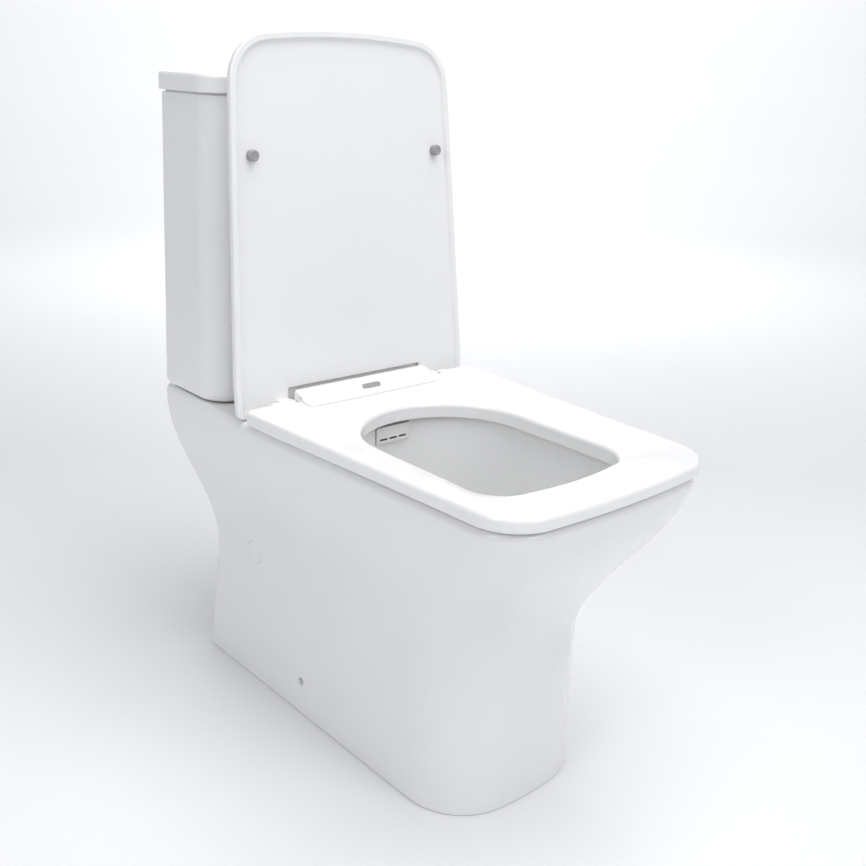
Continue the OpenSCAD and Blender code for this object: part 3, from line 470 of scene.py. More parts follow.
cap_seat, screw_seat = skirt_face(cap_y, cap_z) - 0.003, skirt_face(screw_y, screw_z) - 0.008
hollow_heights = np.concatenate([[-0.002, 0.03], np.linspace(0.06, rim_z - 0.014, 34)])
hollow = skin([level(pan_outline(max(z, 0), skirt_wall, 0.012), z) for z in hollow_heights])
water_way_top, water_way_floor, channel_top, channel_floor = (rim_z - d for d in (0.008, 0.048, 0.016, 0.038))
spigot_radius, spigot_bore, past_rim = 0.051, 0.044, rim_z + 0.01
pan_steps = [
    (CUT, hollow),
    (ADD, skin(bowl_skin(bowl_wall, [bowl_loop(rim_z - 0.002, bowl_wall)]))),
    (ADD, skin(trap_skin(trap_outside, -0.082))),
    (ADD, rod((0, -0.088, outlet_z), (0, -0.012, outlet_z), spigot_radius, fine)),
    (ADD, block((-0.036, bowl_back - 0.004, water_way_floor), (0.036, valve_y, water_way_top))),
    (ADD, rod((0, valve_y, water_way_floor), (0, valve_y, water_way_top), 0.060, fine)),
    (CUT, skin(bowl_skin(0, mouth))),
    (CUT, skin(trap_skin(trap_bore, -0.062))),
    (CUT, rod((0, -0.069, outlet_z), (0, 0.01, outlet_z), spigot_bore, fine)),
    (CUT, block((-0.027, bowl_back - 0.012, channel_floor), (0.027, valve_y, channel_top))),
    (CUT, rod((0, valve_y, channel_floor), (0, valve_y, past_rim), 0.038, fine)),
    (CUT, rod((0, valve_y, rim_z - 0.014), (0, valve_y, past_rim), 0.052, fine)),
    (CUT, rod((supply_x, valve_y, rim_z - 0.03), (supply_x, valve_y, past_rim), 0.021)),
]
for side in (-1, 1):
    for x, y, radius in ((coupling_x, valve_y, 0.005), (hinge_hole_x, hinge_y, 0.006)):
        pan_steps.append((CUT, rod((side * x, y, rim_z - 0.03), (side * x, y, past_rim), radius, 32)))
    for seat, y, z, wide, narrow in (
        (cap_seat, cap_y, cap_z, 0.0163, 0.013), (screw_seat, screw_y, screw_z, 0.0055, 0.0035)
    ):
        pan_steps.append((CUT, rod((side * seat, y, z), (side * (seat + 0.02), y, z), wide)))
        pan_steps.append((CUT, rod((side * (seat - 0.03), y, z), (side * (seat + 0.01), y, z), narrow)))

record = frame["record"]
body_of = {node: body for body, nodes in record["behaviour"]["bodies"].items() for node in nodes}


def fit(piece, material, *nodes):
    """Gives a piece its finish, and puts it in the place of these nodes on their body"""
    piece.data.materials.clear()
    piece.data.materials.append(material)
    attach(piece, body_of[nodes[0]])
    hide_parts(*nodes)


pan_piece = polish(carve("pan_china", skin(skirt_loops), *pan_steps))
fit(pan_piece, china, "pan")


# ---- Cistern --------------------------------------------------------------------------
# The same china, cast as an open box with rounded corners that narrows towards its top. It
# sits on rubber pads and a rubber ring on the shelf, and two bolts pull it down.
tank_low, tank_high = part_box("tank")
tank_foot_half, tank_top_half, tank_depth = 0.1735, 0.1615, 0.134
tank_corner, tank_wall = 0.040, 0.009
tank_floor = tank_low.z + 0.010
below_tank, above_floor = tank_low.z - 0.01, tank_floor + 0.01


def tank_outline(half, y_back, y_front, corner):
    return outline(half, half, half, y_back, blend(y_back, y_front, 0.4), y_front, corner, 0.003, 0.010, 2)


def tank_loop(z, inset=0.0):
    half = blend(tank_foot_half, tank_top_half, np.clip((z - tank_low.z) / (tank_high.z - tank_low.z), 0, 1))
    flat = tank_outline(half - inset, -0.002 - inset, -0.002 - tank_depth + inset, tank_corner - inset * 0.6)
    return level(flat, z)


quarter = np.linspace(0, math.pi / 2, 9)
tank_loops = [tank_loop(tank_low.z + 0.012 * (1 - math.cos(a)), 0.009 * (1 - math.sin(a))) for a in quarter]
tank_loops += [tank_loop(z) for z in np.linspace(tank_low.z + 0.03, tank_high.z - 0.03, 6)]
tank_loops += [
    tank_loop(tank_high.z - 0.0025 * (1 - math.sin(a)), 0.0025 * (1 - math.cos(a))) for a in quarter
]
tank_inside = [
    tank_loop(tank_floor + 0.008 * (1 - math.cos(a)), tank_wall + 0.006 * (1 - math.sin(a))) for a in quarter
]
tank_inside += [tank_loop(tank_high.z - 0.003, tank_wall)]
tank_inside += [tank_loop(tank_high.z, tank_wall - 0.0018), tank_loop(tank_high.z + 0.001, tank_wall - 0.003)]
tank_steps = [
    (CUT, skin(tank_inside)),
    (CUT, rod((0, valve_y, below_tank), (0, valve_y, above_floor), 0.0315, fine)),
    (CUT, rod((supply_x, valve_y, below_tank), (supply_x, valve_y, above_floor), 0.0115)),
]
wall_hole_z = tank_high.z - 0.06
for side in (-1, 1):
    bolt_x, wall_x = side * coupling_x, side * (tank_top_half - 0.045)
    tank_steps.append((CUT, rod((bolt_x, valve_y, below_tank), (bolt_x, valve_y, above_floor), 0.005)))
    tank_steps.append((CUT, rod((wall_x, -0.02, wall_hole_z), (wall_x, 0.01, wall_hole_z), 0.004)))
tank_piece = polish(carve("cistern_china", skin(tank_loops), *tank_steps))
fit(tank_piece, china, "tank")


# ---- Cistern cover ----------------------------------------------------------------------
# A shallow china tray turned upside down. It overhangs the cistern all round but at the wall,
# its lower edge flares a little, and a hidden lip keeps it in place. The button sits in its middle.
cover_low, cover_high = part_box("tank_cover")
cover_edge = tank_high.z + 0.002
cover_reach = 0.0037


def cover_loop(z, reach):
    flat = tank_outline(
        tank_top_half + reach, -0.002, -0.002 - tank_depth - reach, tank_corner + reach * 0.6
    )
    return level(flat, z)


def cover_lip(z, wide):
    flat = tank_outline(
        tank_top_half - tank_wall - wide, -wide - 0.002 - tank_wall, wide - 0.002 - tank_depth + tank_wall,
        tank_corner - 0.005 - wide * 0.8,
    )
    return level(flat, z)


cover_loops = [
    cover_loop(cover_edge + 0.001 * (1 - math.cos(a)), cover_reach - 0.0005 - 0.001 * (1 - math.sin(a)) + 0.001)
    for a in quarter
]
cover_loops += [
    cover_loop(cover_edge + h, cover_reach + 0.0005 * (1 - h / 0.012)) for h in (0.003, 0.006, 0.009)
]
cover_loops += [
    cover_loop(cover_high.z - 0.0045 * (1 - math.sin(a)), cover_reach - 0.0045 * (1 - math.cos(a)))
    for a in quarter
]
lip_levels = ((cover_low.z, 0.0035), (cover_low.z + 0.001, 0.0025), (cover_edge, 0.0025))
cover_hollow = ((cover_low.z - 0.001, 0.009), (cover_high.z - 0.012, 0.009), (cover_high.z - 0.011, 0.012))
cover_piece = polish(carve(
    "cistern_cover_china", skin(cover_loops),
    (ADD, skin([tank_loop(tank_high.z, 0.003), tank_loop(cover_edge + 0.001, 0.003)])),
    (ADD, skin([cover_lip(z, wide) for z, wide in lip_levels])),
    (CUT, skin([cover_lip(z, wide) for z, wide in cover_hollow])),
    (CUT, rod((0, valve_y, cover_low.z - 0.01), (0, valve_y, cover_high.z + 0.01), 0.020, fine)),
))
fit(cover_piece, china, "tank_cover")


# ---- Seat ring --------------------------------------------------------------------------
# Moulded plastic, dished towards its opening, with a lip that hangs into the bowl. A bar along
# its back rises to meet the open lid, and holds the pockets for the hinge posts.
ring_low, ring_high = rim_z + 0.003, rim_z + 0.020
ring_dish, ring_lip, ring_drop = 0.013, 0.005, 0.015
seat_half, seat_front_half, seat_front = 0.1795, 0.1585, -0.648
opening_half, opening_back, opening_front, opening_corner = 0.108, -0.277, -0.573, 0.044
bar_half, bar_top = 0.104, hinge_z + 0.019
knuckle = 0.0085


def seat_outline(inset, y_back, z):
    flat = outline(
        seat_half - inset, seat_half - inset, seat_front_half - inset, y_back - inset, hinge_y - 0.036 - inset,
        seat_front + inset, 0.056 - inset, 0.011, 0.009 - min(inset, 0.005), 4,
    )
    return level(flat, z)


def opening_outline():
    """The opening, with as many points as the seat's outline and facing them"""
    middle, corner_y = opening_back - 0.105, opening_front + opening_corner + 0.006
    half = [
        (opening_half * math.sin(a), blend(middle, opening_back, math.cos(a)))
        for a in np.linspace(0, math.pi / 2, 44, endpoint=False)
    ]
    half += [(opening_half, blend(middle, corner_y, t)) for t in np.linspace(0, 1, 30, endpoint=False)]
    half += [
        (opening_half - opening_corner * (1 - math.cos(a)), corner_y - opening_corner * math.sin(a))
        for a in np.linspace(0, math.pi / 2, 26, endpoint=False)
    ]
    half += [
        ((opening_half - opening_corner) * (1 - t), opening_front + 0.006 * (1 - t) ** 2)
        for t in np.linspace(0, 1, 16)
    ]
    half = np.array(half)
    whole = np.vstack([half, half[-2:0:-1] * [-1, 1]])
    for _ in range(4):
        whole = (np.roll(whole, 1, 0) + 2 * whole + np.roll(whole, -1, 0)) / 4
    return level(whole, 0)


def ring_section(width):
    """Reach from the outer edge and height, from under the edge over the top to the hanging lip"""
    def top(reach):
        return ring_high - ring_dish * (reach / width) ** 1.6

    arc = np.linspace(0, math.pi / 2, 7)
    points = [(0.005 * (1 - math.sin(a)), ring_low + 0.004 * (1 - math.cos(a))) for a in arc]
    points += [(0.006 * (1 - math.cos(a)), ring_high - 0.006 * (1 - math.sin(a))) for a in arc]
    points += [(r, top(r)) for r in np.linspace(0.006, width - 0.006, 16)[1:-1]]
    inner = top(width - 0.006)
    points += [(width - 0.006 + 0.006 * math.sin(a), inner - 0.006 * (1 - math.cos(a))) for a in arc]
    points += [(width, ring_low - ring_drop + 0.002)]
    points += [
        (width - ring_lip / 2 + ring_lip / 2 * math.cos(a), ring_low - ring_drop + 0.002 - 0.002 * math.sin(a))
        for a in np.linspace(0.3, math.pi, 7)
    ]
    points += [(width - ring_lip, ring_low)]
    return points


def ring_skin():
    outer, inner = seat_outline(0, hinge_y, 0), opening_outline()
    slices = []
    for a, b in zip(outer, inner):
        width = float(np.linalg.norm((b - a)[:2]))
        along = (b - a) / width
        slices.append([(*(a + along * reach)[:2], z) for reach, z in ring_section(width)])
    slices = np.array(slices)
    count = slices.shape[1]
    loops = [slices[:, k] for k in range(count)] + [slices[:, 0]]
    return skin(loops, ends=False)


def across(profile, x_ends, shrink=0.0008, steps=2):
    """A closed bar along X with this (y, z) profile, y from the wall, and rounded ends"""
    flat = np.array(profile)
    middle = flat.mean(0)
    loops = []
    turns = np.linspace(0, math.pi / 2, steps)
    ends = [(x_ends[0] + shrink * (1 - math.cos(a)), shrink * (1 - math.sin(a))) for a in turns]
    ends += [(x_ends[1] - shrink * (1 - math.cos(a)), shrink * (1 - math.sin(a))) for a in turns[::-1]]
    for x, inset in ends:
        pulled = middle + (flat - middle) * (1 - inset / np.linalg.norm(flat - middle, axis=1, keepdims=True))
        loops.append(np.array([(x, y + wall_y, z) for y, z in pulled]))
    return skin(loops)


def knuckle_bar(x_ends, radius, around=48):
    turns = np.linspace(0, 2 * math.pi, around, endpoint=False)
    return across([(hinge_y + radius * math.cos(t), hinge_z + radius * math.sin(t)) for t in turns], x_ends)


def sweep(start, pull, end, steps=9):
    """Points of a curve that leaves start and reaches end on the lines through pull"""
    return [
        tuple(blend(blend(np.array(start), np.array(pull), t), blend(np.array(pull), np.array(end), t), t))
        for t in np.linspace(0, 1, steps)
    ]


bar_profile = [(hinge_y - 0.0305, ring_low + 0.002), (hinge_y - 0.0305, ring_high - 0.0022)]
bar_profile += sweep(
    (hinge_y - 0.0300, ring_high - 0.0010), (hinge_y - 0.0203, ring_high - 0.0001),
    (hinge_y - 0.0165, ring_high + 0.0033),
)
bar_profile += sweep(
    (hinge_y - 0.0125, ring_high + 0.0068), (hinge_y - 0.0080, bar_top - 0.0002), (hinge_y - 0.0035, bar_top)
)
bar_profile += [(hinge_y + 0.004, bar_top - 0.0001)]
bar_profile += [
    (hinge_y + 0.004 + 0.0045 * math.sin(a), bar_top - 0.0045 * (1 - math.cos(a)) - 0.0002) for a in quarter[1:]
]
bar_profile += [(hinge_y + knuckle, hinge_z), (hinge_y, hinge_z - 0.002), (hinge_y, ring_low + 0.002)]
ring_steps = [
    (ADD, across(bar_profile, (-bar_half, bar_half), 0.006, 8)),
    (ADD, knuckle_bar((-0.139, 0.139), knuckle)),
]
damper_bore, pin_bore = 0.0061, 0.0041
for side in (-1, 1):
    post = sorted((side * 0.0685, side * 0.0865))
    notch = sorted((side * 0.105, side * 0.125))
    post_low, post_high = (hinge_y - 0.0077, hinge_z - 0.015), (hinge_y + 0.0223, hinge_z + 0.0077)
    notch_low, notch_high = (hinge_y - 0.010, ring_low - 0.005), (hinge_y + 0.030, ring_low + 0.055)
    ring_steps += [
        (CUT, rod((post[0], hinge_y, hinge_z), (post[1], hinge_y, hinge_z), knuckle + 0.0007)),
        (CUT, block((post[0], *post_low), (post[1], *post_high))),
        (CUT, block((notch[0], *notch_low), (notch[1], *notch_high))),
        (CUT, rod((side * 0.022, hinge_y, hinge_z), (side * 0.058, hinge_y, hinge_z), damper_bore)),
        (CUT, rod((side * 0.057, hinge_y, hinge_z), (side * 0.137, hinge_y, hinge_z), pin_bore)),
    ]
seat_plastic = finish(
    "seat_plastic", (0.86, 0.862, 0.862), (0.875, 0.877, 0.878), (0.13, 0.2), (0.09, 0.0016), 0.000012,
    coat=0.25,
)
ring_piece = polish(carve("seat_ring_moulding", ring_skin(), *ring_steps))
fit(ring_piece, seat_plastic, "seat_ring")


# ---- Lid --------------------------------------------------------------------------------
# A moulded plate with a shallow tray inside a low rim, drawn closed over the ring and then
# turned back to where it stands open. Two arms reach past the ring's bar to the hinge pins.
lid_low, lid_thick, lid_rim, lid_tray = ring_high + 0.003, 0.014, 0.009, 0.004
lid_high = lid_low + lid_thick
lid_back = hinge_y + 0.0085
open_turn = math.radians(-94.6)
notch_half = bar_half + 0.0015
lid_sides = [(0.0, 0.0016), (0.0005, 0.0007), (0.0013, 0.0002), (0.0025, 0.0)]
lid_sides += [
    (0.0045 + 0.0095 * math.sin(a), 0.0095 * (1 - math.cos(a)) ** 1.15) for a in np.linspace(0, math.pi / 2, 12)
]
tray = [(-0.001, lid_rim - 0.0026), (0.0002, lid_rim - 0.0020)]
tray += [(0.0008, lid_rim - 0.0012), (0.0016, lid_rim - 0.0006)]
tray += [
    (lid_tray - 0.002 * (1 - math.sin(a)), lid_rim - 0.0004 + 0.003 * (1 - math.cos(a)))
    for a in np.linspace(0, math.pi / 2, 8)
]


def opened(part):
    """A skin drawn with the lid closed, turned back about the hinge"""
    verts, faces = part
    y, z = verts[:, 1] - hinge_y - wall_y, verts[:, 2] - hinge_z
    turned = np.column_stack([
        verts[:, 0], y * math.cos(open_turn) - z * math.sin(open_turn) + hinge_y + wall_y,
        y * math.sin(open_turn) + z * math.cos(open_turn) + hinge_z,
    ])
    return turned, faces


lid_steps = [
    (CUT, opened(skin([seat_outline(inset, lid_back + 0.015, lid_low + h) for h, inset in tray]))),
    (CUT, opened(block(
        (-notch_half, hinge_y - 0.0205, lid_low - 0.005), (notch_half, hinge_y + 0.04, bar_top + 0.0015)
    ))),
]
for side in (-1, 1):
    arm = sorted((side * 0.106, side * 0.124))
    lid_steps += [
        (ADD, opened(knuckle_bar(arm, knuckle - 0.001))),
        (ADD, opened(block((arm[0], hinge_y - 0.0074, hinge_z), (arm[1], hinge_y + 0.0074, lid_high - 0.003)))),
        (CUT, opened(rod((side * 0.101, hinge_y, hinge_z), (side * 0.129, hinge_y, hinge_z), pin_bore))),
    ]
lid_loops = [seat_outline(inset, lid_back, lid_low + h) for h, inset in lid_sides]
lid_piece = polish(carve("lid_moulding", opened(skin(lid_loops)), *lid_steps))
fit(lid_piece, seat_plastic, "seat_lid")


# ---- Cistern's and pan's small fittings, grown by rule ------------------------------------
# Washers, gaskets, nuts and wing nuts all repeat one turned ring, once or as a mirrored pair.
# Node trees grow them: a ring on one or two points, lugs around it, or two wings beside it.
def sprout(name, **sizes):
    """An empty node tree with these named inputs, a middle to stand on and a finish"""
    tree = bpy.data.node_groups.new(name, "GeometryNodeTree")
    tree.interface.new_socket("Geometry", in_out="OUTPUT", socket_type="NodeSocketGeometry")
    for label, value in sizes.items():
        kind = "NodeSocketInt" if isinstance(value, int) else "NodeSocketFloat"
        tree.interface.new_socket(label, in_out="INPUT", socket_type=kind).default_value = value
    tree.interface.new_socket("Middle", in_out="INPUT", socket_type="NodeSocketVector")
    tree.interface.new_socket("Finish", in_out="INPUT", socket_type="NodeSocketMaterial")
    return tree, tree.nodes.new("NodeGroupInput").outputs


def wire(tree, kind, settings=(), **feeds):
    """Adds a node whose inputs take these values, or the outputs that feed them"""
    made = tree.nodes.new(kind)
    for key, value in dict(settings).items():
        setattr(made, key, value)
    for key, value in feeds.items():
        for feed in value if isinstance(value, list) else [value]:
            target = made.inputs[key.replace("_", " ")]
            if isinstance(feed, bpy.types.NodeSocket):
                tree.links.new(feed, target)
            else:
                target.default_value = feed
    return made.outputs[0]


def sums(tree, how, a, b):
    made = tree.nodes.new("ShaderNodeMath")
    made.operation = how
    for target, value in zip(made.inputs, (a, b)):
        if isinstance(value, bpy.types.NodeSocket):
            tree.links.new(value, target)
        else:
            target.default_value = value
    return made.outputs[0]


def ring_part(tree, inner, outer, height, edge, sides=80):
    """A turned ring that stands on its own middle, with rounded edges"""
    middle = sums(tree, "MULTIPLY", sums(tree, "ADD", inner, outer), 0.5)
    band = sums(tree, "SUBTRACT", outer, inner)
    section = wire(tree, "GeometryNodeCurvePrimitiveQuadrilateral", Width=band, Height=height)
    soft = wire(
        tree, "GeometryNodeFilletCurve", {"mode": "POLY"}, Curve=section, Radius=edge, Count=3,
        Limit_Radius=True,
    )
    hoop = wire(tree, "GeometryNodeCurvePrimitiveCircle", Resolution=sides, Radius=middle)
    tube = wire(tree, "GeometryNodeCurveToMesh", Curve=hoop, Profile_Curve=soft)
    lift = wire(tree, "ShaderNodeCombineXYZ", Z=sums(tree, "MULTIPLY", height, 0.5))
    return wire(tree, "GeometryNodeTransform", Geometry=tube, Translation=lift)


def planted(tree, sizes, part):
    """Puts a part on one point, or on two at Spread to either side, and ends the tree"""
    reach = wire(tree, "ShaderNodeCombineXYZ", X=sizes["Spread"])
    back = tree.nodes.new("ShaderNodeVectorMath")
    back.operation = "SUBTRACT"
    tree.links.new(sizes["Middle"], back.inputs[0])
    tree.links.new(reach, back.inputs[1])
    across_x = wire(tree, "ShaderNodeCombineXYZ", X=sums(tree, "MULTIPLY", sizes["Spread"], 2.0))
    points = wire(
        tree, "GeometryNodeMeshLine", Count=sizes["Count"], Start_Location=back.outputs[0], Offset=across_x
    )
    copies = wire(tree, "GeometryNodeInstanceOnPoints", Points=points, Instance=part)
    real = wire(tree, "GeometryNodeRealizeInstances", Geometry=copies)
    done = wire(tree, "GeometryNodeSetMaterial", Geometry=real, Material=sizes["Finish"])
    tree.links.new(done, tree.nodes.new("NodeGroupOutput").inputs[0])
    return tree


rings, size_of = sprout("rings", Inner=0.004, Outer=0.012, Height=0.003, Edge=0.0005, Spread=0.0, Count=1)
planted(
    rings, size_of, ring_part(rings, size_of["Inner"], size_of["Outer"], size_of["Height"], size_of["Edge"])
)

lugged, size_of = sprout(
    "lugged_nut", Inner=0.02, Outer=0.027, Height=0.007, Edge=0.0006, Lugs=6, Lug_Width=0.004, Lug_Height=0.007,
    Lug_Reach=0.003, Spread=0.0, Count=1,
)
lug_size = wire(
    lugged, "ShaderNodeCombineXYZ", X=sums(lugged, "ADD", size_of["Lug_Reach"], 0.002), Y=size_of["Lug_Width"],
    Z=size_of["Lug_Height"],
)
lug_out = sums(lugged, "MULTIPLY", sums(lugged, "SUBTRACT", size_of["Lug_Reach"], 0.002), 0.5)
lug_up = sums(lugged, "MULTIPLY", size_of["Lug_Height"], 0.5)
lug_shift = wire(lugged, "ShaderNodeCombineXYZ", X=lug_out, Z=lug_up)
lug = wire(
    lugged, "GeometryNodeTransform", Translation=lug_shift,
    Geometry=wire(lugged, "GeometryNodeMeshCube", Size=lug_size, Vertices_X=2, Vertices_Y=2, Vertices_Z=2),
)
lug_points = wire(lugged, "GeometryNodeMeshCircle", Vertices=size_of["Lugs"], Radius=size_of["Outer"])
full_turns = sums(lugged, "MULTIPLY", wire(lugged, "GeometryNodeInputIndex"), 2 * math.pi)
facing = wire(lugged, "ShaderNodeCombineXYZ", Z=sums(lugged, "DIVIDE", full_turns, size_of["Lugs"]))
lugs = wire(lugged, "GeometryNodeInstanceOnPoints", Points=lug_points, Instance=lug, Rotation=facing)
planted(lugged, size_of, wire(lugged, "GeometryNodeJoinGeometry", Geometry=[
    wire(lugged, "GeometryNodeRealizeInstances", Geometry=lugs),
    ring_part(lugged, size_of["Inner"], size_of["Outer"], size_of["Height"], size_of["Edge"]),
]))

winged, size_of = sprout(
    "wing_nut", Inner=0.0042, Outer=0.008, Foot=0.012, Foot_Height=0.002, Height=0.01, Edge=0.0005, Wing=0.016,
    Wing_Width=0.0035, Spread=0.076, Count=2,
)
wing_root = sums(winged, "ADD", size_of["Inner"], 0.001)
wing_gap = sums(winged, "SUBTRACT", size_of["Wing"], wing_root)
wing_size = wire(winged, "ShaderNodeCombineXYZ", X=wing_gap, Y=size_of["Wing_Width"], Z=size_of["Height"])
wing_x = sums(winged, "MULTIPLY", sums(winged, "ADD", size_of["Wing"], wing_root), 0.5)
wing_z = sums(winged, "MULTIPLY", size_of["Height"], 0.5)
blank = wire(winged, "GeometryNodeMeshCube", Size=wing_size, Vertices_X=2, Vertices_Y=2, Vertices_Z=2)
wings = [
    wire(winged, "GeometryNodeTransform", Geometry=blank, Translation=wire(
        winged, "ShaderNodeCombineXYZ", X=sums(winged, "MULTIPLY", wing_x, side), Z=wing_z))
    for side in (-1.0, 1.0)
]
foot_ring = ring_part(winged, size_of["Inner"], size_of["Foot"], size_of["Foot_Height"], size_of["Edge"])
foot_lift = sums(winged, "SUBTRACT", size_of["Height"], size_of["Foot_Height"])
raised = wire(
    winged, "GeometryNodeTransform", Geometry=foot_ring,
    Translation=wire(winged, "ShaderNodeCombineXYZ", Z=foot_lift),
)
planted(winged, size_of, wire(winged, "GeometryNodeJoinGeometry", Geometry=[
    ring_part(winged, size_of["Inner"], size_of["Outer"], size_of["Height"], size_of["Edge"]), raised, *wings,
]))


def grown(name, tree, node, material, outer, **sizes):
    """A plain mesh grown by a tree in a node's box, as a mirrored pair if the node is one"""
    low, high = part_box(node)
    spread = max(high.x, -low.x) - outer if low.x < 0 and high.x > 2 * outer + 0.001 else 0.0
    middle = ((0 if spread else (low.x + high.x) / 2), (low.y + high.y) / 2, low.z)
    obj = new_object(name, [(0, 0, 0)], [])
    growth = obj.modifiers.new("growth", "NODES")
    growth.node_group = tree
    values = {"Spread": spread, "Count": 2 if spread else 1, "Middle": middle, "Finish": material, **sizes}
    for item in tree.interface.items_tree:
        if item.in_out == "INPUT" and item.name in values:
            growth[item.identifier] = values[item.name]
    return polish(settle(obj))


white_plastic = finish(
    "white_plastic", (0.78, 0.78, 0.765), (0.81, 0.81, 0.80), (0.28, 0.4), (0.03, 0.0009), 0.000015
)
dark_rubber = finish(
    "dark_rubber", (0.028, 0.028, 0.03), (0.05, 0.05, 0.052), (0.55, 0.75), (0.01, 0.0006), 0.00006
)
zinc_steel = finish(
    "zinc_steel", (0.60, 0.59, 0.56), (0.68, 0.67, 0.64), (0.22, 0.4), (0.006, 0.0008), 0.00002, metal=1.0,
    stretch=(1, 1, 6),
)
for node, inner, outer, edge in (
    ("coupling_washers", 0.0042, 0.012, 0.0008), ("hinge_washers", 0.0042, 0.013, 0.0008),
    ("fill_valve_gasket", 0.0107, 0.019, 0.0006), ("flush_valve_gasket", 0.0315, 0.044, 0.0006),
    ("tank_doughnut", 0.035, 0.051, 0.003),
):
    low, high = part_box(node)
    ring = grown(
        node + "_rubber", rings, node, dark_rubber, outer, Inner=inner, Outer=outer, Height=high.z - low.z,
        Edge=edge,
    )
    fit(ring, dark_rubber, node)
for node, inner, outer, lug_count, lug_width, lug_height, lug_reach in (
    ("button_nut", 0.0199, 0.027, 6, 0.004, 0.007, 0.0039),
    ("flush_valve_nut", 0.0309, 0.033, 8, 0.004, 0.009, 0.0014),
):
    low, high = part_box(node)
    nut = grown(
        node + "_moulding", lugged, node, white_plastic, outer, Inner=inner, Outer=outer, Height=high.z - low.z,
        Lugs=lug_count, Lug_Width=lug_width, Lug_Height=lug_height, Lug_Reach=lug_reach,
    )
    fit(nut, white_plastic, node)
for node, material in (("coupling_wing_nuts", zinc_steel), ("hinge_wing_nuts", white_plastic)):
    low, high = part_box(node)
    fit(grown(node + "_pair", winged, node, material, 0.016, Height=high.z - low.z), material, node)


# ---- Buffers ------------------------------------------------------------------------------
# Four grey rubber discs under the ring rest on the rim, and two taller ones inside the lid meet
# the ring. The lid's pair has rounded ends and a shallow dimple, and turns back with the lid.
grey_rubber = finish(
    "grey_rubber", (0.30, 0.30, 0.31), (0.35, 0.35, 0.36), (0.45, 0.62), (0.012, 0.0008), 0.00003
)


def lathe(profile, centre, around=72):
    """A closed turned shape with its axis upright, from pairs of radius and height"""
    turns = np.linspace(0, 2 * math.pi, around, endpoint=False)
    x, y, z = centre[0], centre[1] + wall_y, centre[2]
    return skin([
        np.array([(x + r * math.cos(t), y + r * math.sin(t), z + h) for t in turns]) for r, h in profile
    ])


def merged(*parts):
    verts, faces, start = [], [], 0
    for part_verts, part_faces in parts:
        verts.append(part_verts)
        faces += [tuple(i + start for i in face) for face in part_faces]
        start += len(part_verts)
    return np.vstack(verts), faces


buffer_x, buffer_y = 0.138, hinge_y - 0.298
buffer_foot, buffer_head = ring_high - 0.002, lid_low + lid_tray
buffer_profile = [
    (0.0015, 0.0006), (0.0036, 0.0006), (0.0044, 0.0001), (0.0051, 0), (0.0059, 0.0004), (0.0064, 0.0012),
    (0.0065, 0.0024), (0.0065, buffer_head - buffer_foot),
]
lid_buffers = new_object("lid_buffers_rubber", *opened(merged(*(
    lathe(buffer_profile, (side * buffer_x, buffer_y, buffer_foot)) for side in (-1, 1)
))))
fit(polish(lid_buffers), grey_rubber, "lid_buffers")
ring_buffers = new_object("ring_buffers_rubber", *merged(*(
    lathe([(0.0058, 0), (0.0066, 0.0002), (0.007, 0.0007), (0.007, 0.003)], (side * x, y, rim_z))
    for side in (-1, 1) for x, y in ((0.138, hinge_y - 0.070), (0.135, buffer_y - 0.020))
)))
fit(polish(ring_buffers), grey_rubber, "ring_buffers")


# ---- Badge --------------------------------------------------------------------------------
# A plain oval plate of brushed metal, 29 by 7 mm, on the sloped front of the ring's bar. It
# carries no lettering.
badge_metal = finish(
    "badge_metal", (0.42, 0.43, 0.44), (0.50, 0.51, 0.52), (0.25, 0.38), (0.004, 0.0004), 0.00002, metal=1.0,
    stretch=(1, 12, 12),
)
badge_low, badge_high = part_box("badge_plate")
badge_middle = (badge_low + badge_high) / 2
badge_slope = math.atan2(bar_top - 0.002 - ring_high - 0.0002, 0.010)
badge_levels = []
for inset, lift in ((0.0002, -0.00035), (0.0, -0.0002), (0.0, 0.0001), (0.00015, 0.00025), (0.0004, 0.00035)):
    arc = np.linspace(-math.pi / 2, math.pi / 2, 24)
    edge = [(0.011 + (0.0035 - inset) * math.cos(a), (0.0035 - inset) * math.sin(a)) for a in arc]
    edge += [(-x, -y) for x, y in edge]
    badge_levels.append(np.array([
        (badge_middle.x + x, badge_middle.y + y * math.cos(badge_slope) - lift * math.sin(badge_slope),
         badge_middle.z + y * math.sin(badge_slope) + lift * math.cos(badge_slope)) for x, y in edge
    ]))
fit(polish(new_object("badge_metal_plate", *skin(badge_levels))), badge_metal, "badge_plate")


# ---- Side caps ----------------------------------------------------------------------------
# Round plastic caps, 32 mm wide, close the holes in the skirt's sides. Each stands a little proud
# in its seat with a rounded rim and a soft dome, and holds on by a hollow plug behind it.
cap_profile = [(0.0157, 0), (0.016, 0.0004), (0.016, 0.0030)]
cap_profile += [
    (0.016 - 0.0014 * (1 - math.cos(a)), 0.0030 + 0.0010 * math.sin(a)) for a in np.linspace(0.2, 1.57, 6)
]
cap_profile += [(0.0105, 0.0042), (0.0055, 0.0044), (0.0015, 0.0044)]
cap_plug = [(0.0127, 0.0004), (0.0127, -0.0085), (0.0123, -0.009)]
cap_bore = [(0.0105, -0.0095), (0.0107, -0.0088), (0.0107, -0.0012)]


def turned_sideways(part, side, x, y, z):
    """A lathed shape laid over so that its height points away from the pan's middle"""
    verts, faces = part
    local = verts - (0, wall_y, 0)
    return np.column_stack([side * (x + local[:, 2]), y + wall_y + local[:, 1], z + local[:, 0]]), faces


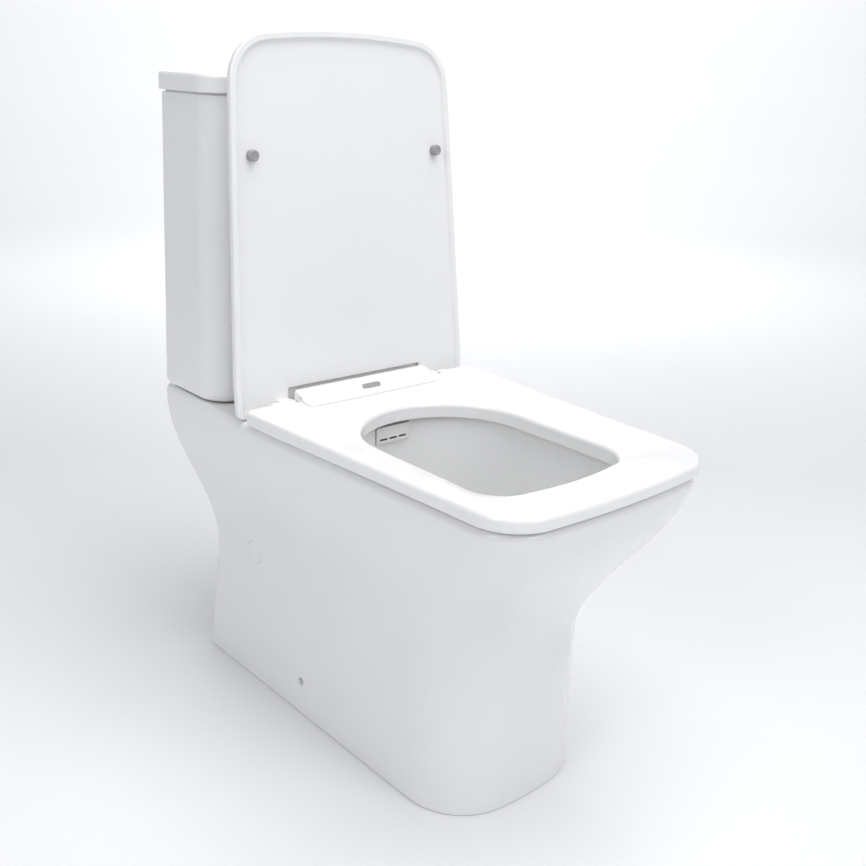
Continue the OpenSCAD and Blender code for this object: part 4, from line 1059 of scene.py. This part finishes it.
for side, name in ((-1, "left"), (1, "right")):
    disc, plug, bore = (
        turned_sideways(lathe(profile, (0, 0, 0)), side, cap_seat, cap_y, cap_z)
        for profile in (cap_profile, cap_plug, cap_bore)
    )
    fit(polish(carve(f"cap_{name}_disc", disc, (ADD, plug), (CUT, bore))), seat_plastic, f"cover_cap_{name}")


# ---- Flush button ---------------------------------------------------------------------------
# Chromed: a flat bezel on the cover with a threaded sleeve below, and two buttons that split a
# slightly domed disc, the wide one for the whole flush and the narrow one for half of it.
chrome = finish(
    "chrome", (0.80, 0.81, 0.82), (0.86, 0.87, 0.88), (0.05, 0.11), (0.02, 0.0012), 0.000006, metal=1.0
)
cover_top = cover_high.z
bezel_outside = [(0.0194, -0.0388), (0.0197, -0.0384), (0.0197, 0)]
bezel_outside += [(0.0278, 0), (0.0280, 0.0003), (0.0280, 0.0010)]
bezel_outside += [
    (0.0266 + 0.0014 * math.cos(a), 0.0010 + 0.0014 * math.sin(a)) for a in np.linspace(0.15, math.pi / 2, 8)
]
bezel_inside = [(0.0134, -0.04), (0.0134, -0.0132), (0.0174, -0.0130)]
bezel_inside += [(0.0174, 0.0014), (0.0178, 0.0020), (0.0186, 0.0026)]
centre = (0, valve_y, cover_top)
bezel = carve("bezel_chrome", lathe(bezel_outside, centre, 120), (CUT, lathe(bezel_inside, centre, 120)))
fit(polish(bezel), chrome, "button_bezel")
button_low, button_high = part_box("button_full")
dome = [(0.01705, 0), (0.01705, 0.0082), (0.01690, 0.0087), (0.01650, 0.0090)]
dome += [(0.0160 * math.cos(a), 0.0090 + 0.0009 * math.sin(a)) for a in np.linspace(0.1, 1.45, 10)]
for node, low_x, high_x in (("button_full", -0.0042, 0.02), ("button_half", -0.02, -0.0048)):
    half_disc = carve(
        node + "_chrome", lathe(dome, (0, valve_y, button_low.z), 120),
        (CUT, block((high_x if low_x < -0.01 else -0.03, valve_y - 0.03, button_low.z - 0.01),
                    (0.03 if low_x < -0.01 else low_x, valve_y + 0.03, button_high.z + 0.01))),
    )
    fit(polish(half_disc, 32, 0.0003), chrome, node)


# ---- Hinges, valves and fixings ---------------------------------------------------------------
# The moulded and turned fittings between the seat, the cistern and the pan. Each is redrawn from
# its own exact shape with whole faces, moulded edges a third of a millimetre round, and a finish.
grey_plastic = finish(
    "grey_plastic", (0.33, 0.34, 0.35), (0.37, 0.38, 0.39), (0.3, 0.45), (0.02, 0.0009), 0.00002
)
blue_plastic = finish(
    "blue_plastic", (0.03, 0.14, 0.42), (0.04, 0.17, 0.48), (0.28, 0.42), (0.02, 0.0009), 0.00002
)
fittings = {
    seat_plastic: ("hinge_post_left", "hinge_post_right"),
    white_plastic: ("flush_valve_body", "fill_valve_body", "fill_valve_nut", "float_arm", "flush_spreader"),
    grey_plastic: (
        "damper_left", "damper_right", "push_rod_full", "push_rod_half", "flush_tube", "flush_float",
        "float_cup", "floor_bracket_left", "floor_bracket_right",
    ),
    blue_plastic: ("flush_seal", "fill_valve_cap"),
    zinc_steel: ("hinge_pin_left", "hinge_pin_right", "hinge_bolts", "coupling_bolts", "float_link"),
    chrome: ("side_screws",),
    dark_rubber: ("tank_pads",),
}
for material, names in fittings.items():
    for node in names:
        source = frame["nodes"][node].data
        faces = [tuple(face.vertices) for face in source.polygons]
        made = new_object(node + "_finished", [v.co for v in source.vertices], faces)
        fit(polish(made, 28, 0.0003), material, node)
